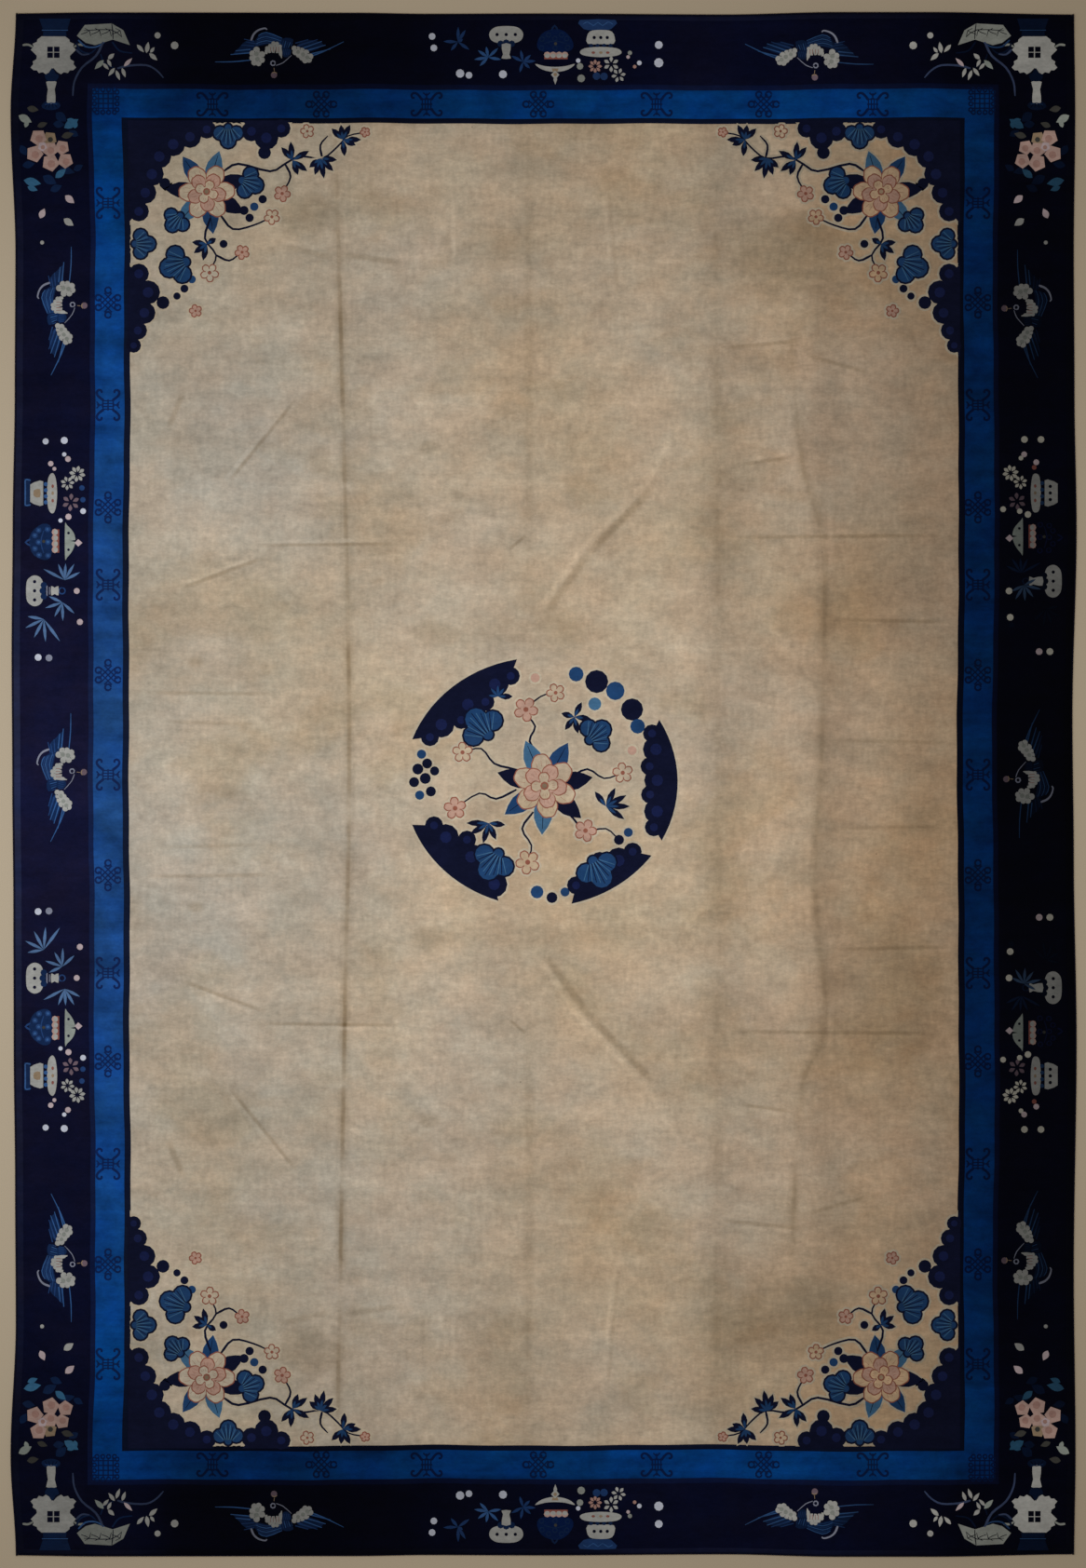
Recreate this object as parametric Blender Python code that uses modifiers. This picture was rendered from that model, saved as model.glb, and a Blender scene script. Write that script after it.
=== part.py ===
"""A room-size hand-knotted Chinese pile carpet lying flat, with overcast cords along its four edges.

Metres, +Z up. The origin is on the floor under the middle of the carpet: +X runs across the
width and +Y along the length. The carpet is one slab of even thickness whose outline wanders a
little, and whose fold lines and ripples lift it off the floor in soft ridges.
"""
import math

import bmesh
import bpy

# Driving dimensions
RUG_WIDTH = 3.05
RUG_LENGTH = 4.42
CARPET_THICKNESS = 0.011
EDGE_ROUNDING = 0.0025
CORD_DIAMETER = 0.007
JOINT_GAP = 0.0005
ROW_SPACING = 0.12
COLUMN_SPACING = 0.26
CORD_RING_RESOLUTION = 2

# How far the outline draws in from the full rectangle, in metres: (station along the side, inset).
LEFT_INSETS = (
    (-2.21, 0.015), (-1.92, 0.000), (-1.54, 0.015), (-1.14, 0.013), (-0.74, 0.009),
    (-0.34, 0.008), (0.00, 0.005), (0.38, 0.003), (0.73, 0.006), (1.12, 0.012),
    (1.52, 0.014), (1.92, 0.000), (2.21, 0.015),
)
RIGHT_INSETS = (
    (-2.21, 0.007), (-1.92, 0.003), (-1.40, 0.008), (-0.74, 0.000), (-0.21, 0.008),
    (0.19, 0.012), (0.73, 0.000), (1.12, 0.006), (1.52, 0.008), (1.92, 0.004), (2.21, 0.007),
)
END_INSETS = (
    (-1.525, 0.004), (-1.28, 0.001), (-0.54, 0.002), (-0.33, 0.005), (-0.01, 0.004),
    (0.52, 0.007), (0.84, 0.000), (1.11, 0.000), (1.525, 0.007),
)

# Lengthwise fold lines: height and half width of the ridge, then (station along Y, place in X).
LONG_FOLDS = (
    {"height": 0.004, "half_width": 0.040, "path": (
        (-1.90, -0.590), (-0.69, -0.568), (0.11, -0.555), (0.65, -0.563), (1.90, -0.597))},
    {"height": 0.002, "half_width": 0.060, "path": (
        (-1.75, 0.490), (0.00, 0.498), (1.75, 0.490))},
    {"height": 0.005, "half_width": 0.040, "path": (
        (-1.40, 0.712), (-1.22, 0.714), (-0.87, 0.736), (-0.68, 0.802), (-0.31, 0.776),
        (0.11, 0.794), (0.46, 0.802), (0.65, 0.800), (0.91, 0.741), (1.20, 0.709), (1.40, 0.705))},
)

# Short ripples that cross the field at a slant: height, half width and the ridge line's corners.
RIPPLES = (
    {"height": 0.007, "half_width": 0.035, "line": (
        (0.017, 0.500), (0.150, 0.725), (0.310, 0.885), (0.390, 1.031))},
    {"height": 0.007, "half_width": 0.035, "line": (
        (-0.002, -0.500), (0.150, -0.717), (0.296, -0.832), (0.403, -1.031))},
    {"height": 0.004, "half_width": 0.040, "line": ((-1.007, 0.579), (-0.781, 0.650), (-0.65, 0.665))},
    {"height": 0.004, "half_width": 0.040, "line": ((-1.007, -0.579), (-0.781, -0.648), (-0.65, -0.665))},
    {"height": 0.004, "half_width": 0.035, "line": ((-0.888, 0.845), (-0.728, 1.031))},
    {"height": 0.004, "half_width": 0.035, "line": ((-0.928, -0.326), (-0.755, -0.539))},
    {"height": 0.004, "half_width": 0.035, "line": ((-0.888, -0.845), (-0.728, -1.031))},
)
FOLD_FADE = 0.30
RIPPLE_FADE = 0.09


def smooth_step(t):
    """0 up to t = 0, 1 from t = 1, and an even ease between them."""
    t = min(1.0, max(0.0, t))
    return t * t * (3.0 - 2.0 * t)


def along(table, station):
    """The value that a table of (station, value) rows gives at a station, eased between rows."""
    if station <= table[0][0]:
        return table[0][1]
    for (low, first), (high, second) in zip(table, table[1:]):
        if station <= high:
            return first + (second - first) * smooth_step((station - low) / (high - low))
    return table[-1][1]


def outline_x(side, y):
    """Where the left (-1) or right (+1) side of the finished rug runs at y."""
    insets = LEFT_INSETS if side < 0 else RIGHT_INSETS
    return side * (RUG_WIDTH / 2 - along(insets, y))


def outline_y(side, x):
    """Where the near (-1) or far (+1) end of the finished rug runs at x."""
    return side * (RUG_LENGTH / 2 - along(END_INSETS, x))


def ridge(distance, half_width):
    """A soft ridge's share of its full height at a distance from its crest."""
    if distance >= half_width:
        return 0.0
    return 0.5 + 0.5 * math.cos(math.pi * distance / half_width)


def from_line(line, x, y):
    """(distance to a line of straight runs, distance along it to its nearer end)."""
    best, run_before, nearest_run = math.inf, 0.0, 0.0
    for (ax, ay), (bx, by) in zip(line, line[1:]):
        length = math.hypot(bx - ax, by - ay)
        share = ((x - ax) * (bx - ax) + (y - ay) * (by - ay)) / length**2
        share = min(1.0, max(0.0, share))
        distance = math.hypot(x - ax - share * (bx - ax), y - ay - share * (by - ay))
        if distance < best:
            best, nearest_run = distance, run_before + share * length
        run_before += length
    return best, min(nearest_run, run_before - nearest_run)


def lift(x, y):
    """How far the carpet's underside is raised off the floor at a point."""
    height = 0.0
    for fold in LONG_FOLDS:
        first, last = fold["path"][0][0], fold["path"][-1][0]
        fade = smooth_step((y - first) / FOLD_FADE) * smooth_step((last - y) / FOLD_FADE)
        crest = along(fold["path"], y)
        height = max(height, fade * fold["height"] * ridge(abs(x - crest), fold["half_width"]))
    for ripple in RIPPLES:
        distance, to_end = from_line(ripple["line"], x, y)
        fade = smooth_step(to_end / RIPPLE_FADE)
        height = max(height, fade * ripple["height"] * ridge(distance, ripple["half_width"]))
    return height


def row_stations():
    """Stations along the length, evenly spaced from end to end."""
    rows = math.ceil(RUG_LENGTH / ROW_SPACING)
    return [-RUG_LENGTH / 2 + RUG_LENGTH * row / rows for row in range(rows + 1)]


def column_stations():
    """(rest place in X, fold or None, offset) of each lengthwise line of the carpet's mesh."""
    margin = CORD_DIAMETER + JOINT_GAP
    half = RUG_WIDTH / 2 - margin
    fixed = [(-half, None, 0.0), (half, None, 0.0)]
    for fold in LONG_FOLDS:
        for offset in (-fold["half_width"], 0.0, fold["half_width"]):
            fixed.append((along(fold["path"], 0.0) + offset, fold, offset))
    fixed.sort(key=lambda column: column[0])
    columns = [fixed[0]]
    for column in fixed[1:]:
        start = columns[-1][0]
        between = math.ceil((column[0] - start) / COLUMN_SPACING) - 1
        for step in range(between):
            columns.append((start + (column[0] - start) * (step + 1) / (between + 1), None, 0.0))
        columns.append(column)
    return columns


def place_in_x(column, y):
    """Where a lengthwise mesh line runs at y: on its fold, at an edge, or at its rest place."""
    rest, fold, offset = column
    margin = CORD_DIAMETER + JOINT_GAP
    half = RUG_WIDTH / 2 - margin
    if fold is not None:
        return along(fold["path"], y) + offset
    if abs(rest) >= half - 1e-9:
        side = math.copysign(1.0, rest)
        return outline_x(side, y) - side * margin
    return rest


def cut_along(mesh, start, end, side_step):
    """Adds mesh lines beside a ripple's straight run, in the faces that it passes over."""
    (ax, ay), (bx, by) = start, end
    length = math.hypot(bx - ax, by - ay)
    normal = (-(by - ay) / length, (bx - ax) / length, 0.0)
    for step in (-side_step, 0.0, side_step):
        point = (ax + normal[0] * step, ay + normal[1] * step, 0.0)
        faces = [
            face for face in mesh.faces
            if any(from_line((start, end), v.co.x, v.co.y)[0] < side_step * 2 for v in face.verts)
            or from_line((start, end), *face.calc_center_median().xy)[0] < side_step * 2
        ]
        nearby = set(faces)
        for face in faces:
            nearby.update(face.edges, face.verts)
        bmesh.ops.bisect_plane(mesh, geom=list(nearby), dist=0.002, plane_co=point, plane_no=normal)


def new_material(name, colour, roughness):
    """A Principled material of one colour."""
    material = bpy.data.materials.new(name)
    material.use_nodes = True
    shader = material.node_tree.nodes["Principled BSDF"]
    shader.inputs["Base Color"].default_value = (*colour, 1.0)
    shader.inputs["Roughness"].default_value = roughness
    shader.inputs["Metallic"].default_value = 0.0
    return material


def make_carpet(collection, material):
    """The knotted carpet: an uneven sheet lifted into its ridges, thickened and rounded off."""
    columns, rows = column_stations(), row_stations()
    mesh = bmesh.new()
    bmesh.ops.create_grid(mesh, x_segments=len(columns) - 1, y_segments=len(rows) - 1, size=1.0)
    margin = CORD_DIAMETER + JOINT_GAP
    for vertex in mesh.verts:
        column = columns[round((vertex.co.x + 1.0) / 2.0 * (len(columns) - 1))]
        y = rows[round((vertex.co.y + 1.0) / 2.0 * (len(rows) - 1))]
        x = place_in_x(column, y)
        if abs(y) > RUG_LENGTH / 2 - 1e-6:
            side = math.copysign(1.0, y)
            y = outline_y(side, x) - side * margin
        vertex.co = (x, y, 0.0)
    for ripple in RIPPLES:
        for start, end in zip(ripple["line"], ripple["line"][1:]):
            cut_along(mesh, start, end, ripple["half_width"])
    for vertex in mesh.verts:
        vertex.co.z = lift(vertex.co.x, vertex.co.y)
    bmesh.ops.triangulate(mesh, faces=[face for face in mesh.faces if len(face.verts) > 4])
    data = bpy.data.meshes.new("carpet")
    mesh.to_mesh(data)
    mesh.free()
    carpet = bpy.data.objects.new("carpet", data)
    collection.objects.link(carpet)
    data.materials.append(material)
    thicken = carpet.modifiers.new("Thickness", "SOLIDIFY")
    thicken.thickness = CARPET_THICKNESS
    thicken.offset = 1.0
    rounding = carpet.modifiers.new("Worn rim", "BEVEL")
    rounding.width = EDGE_ROUNDING
    rounding.segments = 2
    rounding.limit_method = "ANGLE"
    rounding.angle_limit = math.radians(50)
    return carpet


def make_cord(name, points, collection, material):
    """An overcast edge cord: a round tube that lies on the floor along a line of points."""
    curve = bpy.data.curves.new(name, "CURVE")
    curve.dimensions = "3D"
    curve.bevel_depth = CORD_DIAMETER / 2
    curve.bevel_resolution = CORD_RING_RESOLUTION
    curve.use_fill_caps = True
    spline = curve.splines.new("POLY")
    spline.points.add(len(points) - 1)
    for point, (x, y) in zip(spline.points, points):
        point.co = (x, y, 0.0, 1.0)
    cord = bpy.data.objects.new(name, curve)
    cord.location.z = CORD_DIAMETER / 2
    curve.materials.append(material)
    collection.objects.link(cord)
    return cord


def side_cord_points(side):
    """The line of a side's cord, one point for each row of the carpet and one at each end."""
    inward = side * CORD_DIAMETER / 2
    corner = side * RUG_WIDTH / 2
    stations = [outline_y(-1, corner), *row_stations()[1:-1], outline_y(1, corner)]
    return [(outline_x(side, y) - inward, y) for y in stations]


def end_cord_points(side):
    """The line of an end's cord, from one side cord to the other."""
    inward = side * CORD_DIAMETER / 2
    end = side * RUG_LENGTH / 2
    margin = CORD_DIAMETER + JOINT_GAP
    places = [place_in_x(column, end) for column in column_stations()]
    places[0] = outline_x(-1, end) + margin
    places[-1] = outline_x(1, end) - margin
    return [(x, outline_y(side, x) - inward) for x in places]


def main():
    for old in list(bpy.data.objects):
        bpy.data.objects.remove(old)
    collection = bpy.data.collections.new("Chinese carpet")
    bpy.context.scene.collection.children.link(collection)
    ivory_pile = new_material("Ivory wool pile", (0.46, 0.38, 0.26), 0.9)
    navy_wool = new_material("Navy overcast wool", (0.010, 0.014, 0.040), 0.85)
    make_carpet(collection, ivory_pile)
    for side, name in ((-1, "side_cord_left"), (1, "side_cord_right")):
        make_cord(name, side_cord_points(side), collection, navy_wool)
    for side, name in ((-1, "end_cord_near"), (1, "end_cord_far")):
        make_cord(name, end_cord_points(side), collection, navy_wool)


main()
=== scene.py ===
"""The looks of a room-size hand-knotted Chinese carpet: its pile, dyes, carved lines and motifs.

Metres, +Z up. +X runs across the carpet's width and +Y along its length, and the origin is on the
floor under its middle. Motifs are drawn in squares of the weaver's cartoon, on straight axes of
their own, and are then laid on the border, the band or the field.
"""
import math

import bmesh
import bpy
import numpy as np
from bpy.props import FloatProperty, FloatVectorProperty, PointerProperty
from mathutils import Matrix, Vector


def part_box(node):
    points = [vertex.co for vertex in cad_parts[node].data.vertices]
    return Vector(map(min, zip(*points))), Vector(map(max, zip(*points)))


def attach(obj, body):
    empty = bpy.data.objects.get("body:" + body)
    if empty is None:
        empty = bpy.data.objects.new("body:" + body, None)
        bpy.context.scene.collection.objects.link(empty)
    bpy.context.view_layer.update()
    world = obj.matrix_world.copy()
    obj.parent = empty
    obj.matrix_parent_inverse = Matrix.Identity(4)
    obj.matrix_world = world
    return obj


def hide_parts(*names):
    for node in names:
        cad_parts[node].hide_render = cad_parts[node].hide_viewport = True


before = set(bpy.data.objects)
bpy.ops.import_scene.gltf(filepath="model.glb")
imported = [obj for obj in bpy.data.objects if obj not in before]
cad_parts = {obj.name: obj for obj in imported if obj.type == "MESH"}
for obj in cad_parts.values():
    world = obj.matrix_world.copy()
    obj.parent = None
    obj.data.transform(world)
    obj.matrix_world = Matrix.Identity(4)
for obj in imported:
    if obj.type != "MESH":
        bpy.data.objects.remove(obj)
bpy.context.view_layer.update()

bl_info = {
    "name": "Chinese Carpet",
    "version": (1, 0, 0),
    "blender": (4, 5, 0),
    "location": "3D View > Sidebar > Carpet",
    "description": "Dresses a flat Chinese pile carpet in its dyed wool, borders and motifs",
    "category": "Object",
}

# --- The carpet's own sizes, as its solids have them ---

RUG_WIDTH = 3.05
RUG_LENGTH = 4.42
CARPET_THICKNESS = 0.011
CORD_DIAMETER = 0.007
CORD_MARGIN = 0.0075

# How far from its ends a fold line and a ripple reach their full height.
FOLD_FADE = 0.30
RIPPLE_FADE = 0.09

# How far the outline draws in from the full rectangle: (station along the side, inset).
LEFT_INSETS = (
    (-2.21, 0.015), (-1.92, 0.0), (-1.54, 0.015), (-1.14, 0.013), (-0.74, 0.009), (-0.34, 0.008),
    (0.0, 0.005), (0.38, 0.003), (0.73, 0.006), (1.12, 0.012), (1.52, 0.014), (1.92, 0.0), (2.21, 0.015))
RIGHT_INSETS = (
    (-2.21, 0.007), (-1.92, 0.003), (-1.4, 0.008), (-0.74, 0.0), (-0.21, 0.008), (0.19, 0.012),
    (0.73, 0.0), (1.12, 0.006), (1.52, 0.008), (1.92, 0.004), (2.21, 0.007))
END_INSETS = (
    (-1.525, 0.004), (-1.28, 0.001), (-0.54, 0.002), (-0.33, 0.005), (-0.01, 0.004), (0.52, 0.007),
    (0.84, 0.0), (1.11, 0.0), (1.525, 0.007))

# Lengthwise fold lines: height and half width of the ridge, then (station along Y, place in X).
LONG_FOLDS = (
    (0.004, 0.04, ((-1.9, -0.59), (-0.69, -0.568), (0.11, -0.555), (0.65, -0.563), (1.9, -0.597))),
    (0.002, 0.06, ((-1.75, 0.49), (0.0, 0.498), (1.75, 0.49))),
    (0.005, 0.04, (
        (-1.4, 0.712), (-1.22, 0.714), (-0.87, 0.736), (-0.68, 0.802), (-0.31, 0.776), (0.11, 0.794),
        (0.46, 0.802), (0.65, 0.8), (0.91, 0.741), (1.2, 0.709), (1.4, 0.705))))

# Short ripples that cross the field at a slant: height, half width and the ridge line's corners.
RIPPLES = (
    (0.007, 0.035, ((0.017, 0.5), (0.15, 0.725), (0.31, 0.885), (0.39, 1.031))),
    (0.007, 0.035, ((-0.002, -0.5), (0.15, -0.717), (0.296, -0.832), (0.403, -1.031))),
    (0.004, 0.04, ((-1.007, 0.579), (-0.781, 0.65), (-0.65, 0.665))),
    (0.004, 0.04, ((-1.007, -0.579), (-0.781, -0.648), (-0.65, -0.665))),
    (0.004, 0.035, ((-0.888, 0.845), (-0.728, 1.031))),
    (0.004, 0.035, ((-0.928, -0.326), (-0.755, -0.539))),
    (0.004, 0.035, ((-0.888, -0.845), (-0.728, -1.031))))

# The pile areas from the outside in: name, how far the inner line is from the carpet's sides and
# from its ends, yarn and material slot.
PILE_AREAS = (
    ("guard_stripe", 0.0255, 0.021, "guard", "navy_pile"),
    ("navy_border", 0.2209, 0.207, "border_navy", "navy_pile"),
    ("outer_band_line", 0.2355, 0.222, "violet_navy", "navy_pile"),
    ("blue_band", 0.32, 0.304, "band_blue", "blue_pile"),
    ("inner_band_line", 0.338, 0.319, "line_navy", "navy_pile"))

# The top of the cotton ground and the foot of the pile, how far in from the edges the outline's
# insets are felt, and how far a hand-drawn line strays and how soon that starts inside the edges.
BACK_TOP = 0.0030
PILE_FOOT = 0.0028
WARP_REACH = 0.67
HAND_WOBBLE = 0.0011
HAND_FADE = 0.10

# The weaver's cartoon: its square, its middle in squares from its upper left, and how the motifs
# stand in the pile: their root below the pile's top, a level's rise as a share of the relief, the
# small step that keeps two overlapping shapes apart, after how many shapes the steps start again,
# and the clipped edge's width and depth.
CARTOON_SQUARE = 0.002661
CARTOON_MIDDLE = (583.6, 842.5)
MOTIF_ROOT = 0.0015
LEVEL_RISE = 0.4
SHAPE_STEP = 0.000002
STEPS_IN_TURN = 61
CLIPPED_EDGE = (0.0004, 0.00025)


# --- The carpet's surface ---

def smooth_step(t):
    """0 up to t = 0, 1 from t = 1, and an even ease between them."""
    t = np.clip(t, 0.0, 1.0)
    return t * t * (3.0 - 2.0 * t)


def along(table, station):
    """The values that a table of (station, value) rows gives at stations, eased between rows."""
    stations, values = np.array(table).T
    station = np.clip(station, stations[0], stations[-1])
    row = np.clip(np.searchsorted(stations, station) - 1, 0, len(stations) - 2)
    share = (station - stations[row]) / (stations[row + 1] - stations[row])
    return values[row] + (values[row + 1] - values[row]) * smooth_step(share)


def ridge(distance, half_width):
    """A soft ridge's share of its full height at a distance from its crest."""
    return 0.5 + 0.5 * np.cos(np.pi * np.minimum(distance / half_width, 1.0))


def from_line(line, x, y):
    """(distance to a line of straight runs, distance along it to its nearer end)."""
    best = np.full(np.shape(x), np.inf)
    nearest_run = np.zeros(np.shape(x))
    run_before = 0.0
    for (ax, ay), (bx, by) in zip(line, line[1:]):
        length = math.hypot(bx - ax, by - ay)
        share = ((x - ax) * (bx - ax) + (y - ay) * (by - ay)) / length**2
        share = np.clip(share, 0.0, 1.0)
        distance = np.hypot(x - ax - share * (bx - ax), y - ay - share * (by - ay))
        closer = distance < best
        nearest_run = np.where(closer, run_before + share * length, nearest_run)
        best = np.where(closer, distance, best)
        run_before += length
    return best, np.minimum(nearest_run, run_before - nearest_run)


def lift(x, y):
    """How far the carpet's underside is raised off the floor at points."""
    height = np.zeros(np.shape(x))
    for crest, half_width, path in LONG_FOLDS:
        first, last = path[0][0], path[-1][0]
        fade = smooth_step((y - first) / FOLD_FADE) * smooth_step((last - y) / FOLD_FADE)
        height = np.maximum(height, fade * crest * ridge(np.abs(x - along(path, y)), half_width))
    for crest, half_width, line in RIPPLES:
        distance, to_end = from_line(line, x, y)
        rise = smooth_step(to_end / RIPPLE_FADE) * crest
        height = np.maximum(height, rise * ridge(distance, half_width))
    return height


def hand_drawn(room, station, aside, slow, quick):
    """How far a line that a hand drew strays along its run; nothing at the carpet's edge."""
    share = HAND_WOBBLE * np.clip(room / HAND_FADE - 0.1, 0.0, 1.0)
    return share * (np.sin(slow * station + aside) + 0.7 * np.sin(quick * station + 2.0 * aside))


def worn_place(x, y):
    """Where a point of the true rectangle lies on the worn carpet, with its lines drawn by hand."""
    side_room = RUG_WIDTH / 2 - np.abs(x)
    end_room = RUG_LENGTH / 2 - np.abs(y)
    side_inset = np.where(x < 0, along(LEFT_INSETS, y), along(RIGHT_INSETS, y))
    side_pull = side_inset * np.clip(1.0 - side_room / WARP_REACH, 0.0, 1.0)
    end_pull = along(END_INSETS, x) * np.clip(1.0 - end_room / WARP_REACH, 0.0, 1.0)
    side_pull = side_pull + hand_drawn(side_room, y, x, 9.1, 27.0)
    end_pull = end_pull + hand_drawn(end_room, x, y, 8.3, 24.0)
    return x - np.sign(x) * side_pull, y - np.sign(y) * end_pull


def settle(mesh, drawn_true=False):
    """Lays a flat bmesh, whose z is measured from the floor, on the worn carpet and its folds."""
    places = np.array([vertex.co for vertex in mesh.verts])
    x, y, z = places.T
    if drawn_true:
        x, y = worn_place(x, y)
    for vertex, place in zip(mesh.verts, np.stack((x, y, z + lift(x, y)), axis=1)):
        vertex.co = place


# --- Pieces ---

def finished(mesh, name, materials, smooth_below=35.0):
    """Makes an object of a bmesh, at the origin, riding with the carpet."""
    data = bpy.data.meshes.new(name)
    mesh.to_mesh(data)
    mesh.free()
    for material in materials:
        data.materials.append(material)
    data.shade_smooth()
    data.set_sharp_from_angle(angle=math.radians(smooth_below))
    piece = bpy.data.objects.new(name, data)
    bpy.context.scene.collection.objects.link(piece)
    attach(piece, "root")
    return piece


def stations(breaks, step):
    """Even stations from break to break, no further apart than the step."""
    places = [breaks[0]]
    for start, end in zip(breaks, breaks[1:]):
        count = max(1, math.ceil((end - start) / step - 1e-6))
        places += [start + (end - start) * (n + 1) / count for n in range(count)]
    return places


def flat_area(outer, step, inner=None):
    """An open flat grid over a rectangle, or over the frame between two, given half sides."""
    breaks = [(-half, half) for half in outer]
    if inner:
        breaks = [(-big, -small, small, big) for big, small in zip(outer, inner)]
    columns, rows = (stations(row, step) for row in breaks)
    mesh = bmesh.new()
    bmesh.ops.create_grid(mesh, x_segments=len(columns) - 1, y_segments=len(rows) - 1, size=1.0)
    for vertex in mesh.verts:
        vertex.co.x = columns[round((vertex.co.x + 1.0) / 2.0 * (len(columns) - 1))]
        vertex.co.y = rows[round((vertex.co.y + 1.0) / 2.0 * (len(rows) - 1))]
    if inner:
        hole = []
        for face in mesh.faces:
            centre = face.calc_center_median()
            if abs(centre.x) < inner[0] and abs(centre.y) < inner[1]:
                hole.append(face)
        bmesh.ops.delete(mesh, geom=hole, context="FACES")
    return mesh


def thicken(mesh, foot, top, rim_width=0.0, rim_drop=0.0):
    """Gives a flat grid its thickness, with a lower rim round its top where one is asked for."""
    if rim_width:
        bmesh.ops.inset_region(
            mesh, faces=mesh.faces[:], thickness=rim_width, use_even_offset=True, use_boundary=True)
    for vertex in mesh.verts:
        vertex.co.z = top - rim_drop if vertex.is_boundary else top
    grown = bmesh.ops.extrude_face_region(mesh, geom=mesh.faces[:], use_keep_orig=True)
    for element in grown["geom"]:
        if isinstance(element, bmesh.types.BMVert):
            element.co.z = foot
    bmesh.ops.recalc_face_normals(mesh, faces=mesh.faces[:])


def area_halves(index):
    """Half sides of the line inside a pile area; -1 gives the line where the edge cords lie."""
    if index < 0:
        return RUG_WIDTH / 2 - CORD_MARGIN, RUG_LENGTH / 2 - CORD_MARGIN
    side, end = PILE_AREAS[index][1:3]
    return RUG_WIDTH / 2 - side, RUG_LENGTH / 2 - end


# --- Dyed wool, with its painted light, shade and sheen ---

# Painted light and shade: how much light each wool is painted as giving back across the width, darker
# towards the right and the ends where the lamps' light falls off and, on the dark wool, lighter with a
# painted sheen half way up the left side. As (place, share): half way along the carpet and at its
# ends, and how the first gives way to the second with the distance from the middle. The dark, the
# blue and the light wool and that of the field's motifs each have their own.
PAINTED_LIGHTS = {
    "Nap of dark wool": {
        "middle": (
            (-1.6, 1.0), (-1.24, 1.0), (-1.1, 0.9), (0.0, 0.58), (1.0, 0.31), (1.2, 0.27), (1.6, 0.27)),
        "ends": (
            (-1.6, 0.5), (-1.24, 0.57), (-1.1, 0.47), (-1.02, 0.36), (-0.8, 0.34), (-0.45, 0.39),
            (-0.15, 0.52), (0.15, 0.6), (0.25, 0.66), (0.8, 0.65), (1.08, 0.55), (1.24, 0.42),
            (1.6, 0.45)),
        "shift": (
            (0.0, 0.0), (0.22, 0.07), (0.59, 0.22), (0.8, 0.32), (1.0, 0.4), (1.2, 0.46), (1.44, 0.52),
            (1.58, 0.59), (1.9, 1.0), (2.21, 1.0)),
    },
    "Nap of light wool": {
        "middle": ((-1.6, 1.0), (-1.24, 1.0), (0.0, 0.75), (1.0, 0.4), (1.2, 0.34), (1.6, 0.32)),
        "ends": (
            (-1.6, 0.72), (-1.2, 0.7), (-0.8, 0.56), (-0.2, 0.72), (0.15, 0.97), (0.8, 1.1), (1.1, 1.2),
            (1.3, 1.5), (1.6, 1.6)),
        "shift": ((0.0, 0.0), (1.0, 0.05), (1.45, 0.15), (1.7, 0.7), (1.9, 1.0), (2.21, 1.0)),
    },
    "Nap of blue wool": {
        "middle": ((-1.6, 1.0), (-1.24, 1.0), (0.0, 0.7), (1.0, 0.24), (1.2, 0.15), (1.6, 0.15)),
        "ends": (
            (-1.6, 0.6), (-1.2, 0.64), (-0.8, 0.58), (-0.2, 0.66), (0.15, 0.8), (0.8, 0.64), (1.2, 0.42),
            (1.6, 0.42)),
        "shift": ((0.0, 0.0), (1.0, 0.05), (1.45, 0.15), (1.7, 0.7), (1.9, 1.0), (2.21, 1.0)),
    },
    "Nap of field wool": {
        "middle": ((-1.25, 0.96), (-0.6, 1.0), (0.4, 1.0), (0.8, 0.8), (1.25, 0.66)),
        "ends": ((-1.25, 0.88), (-0.6, 0.9), (0.4, 0.9), (0.8, 0.76), (1.25, 0.62)),
        "shift": ((0.0, 0.0), (1.2, 0.2), (1.8, 1.0), (2.21, 1.0)),
    },
}
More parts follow.
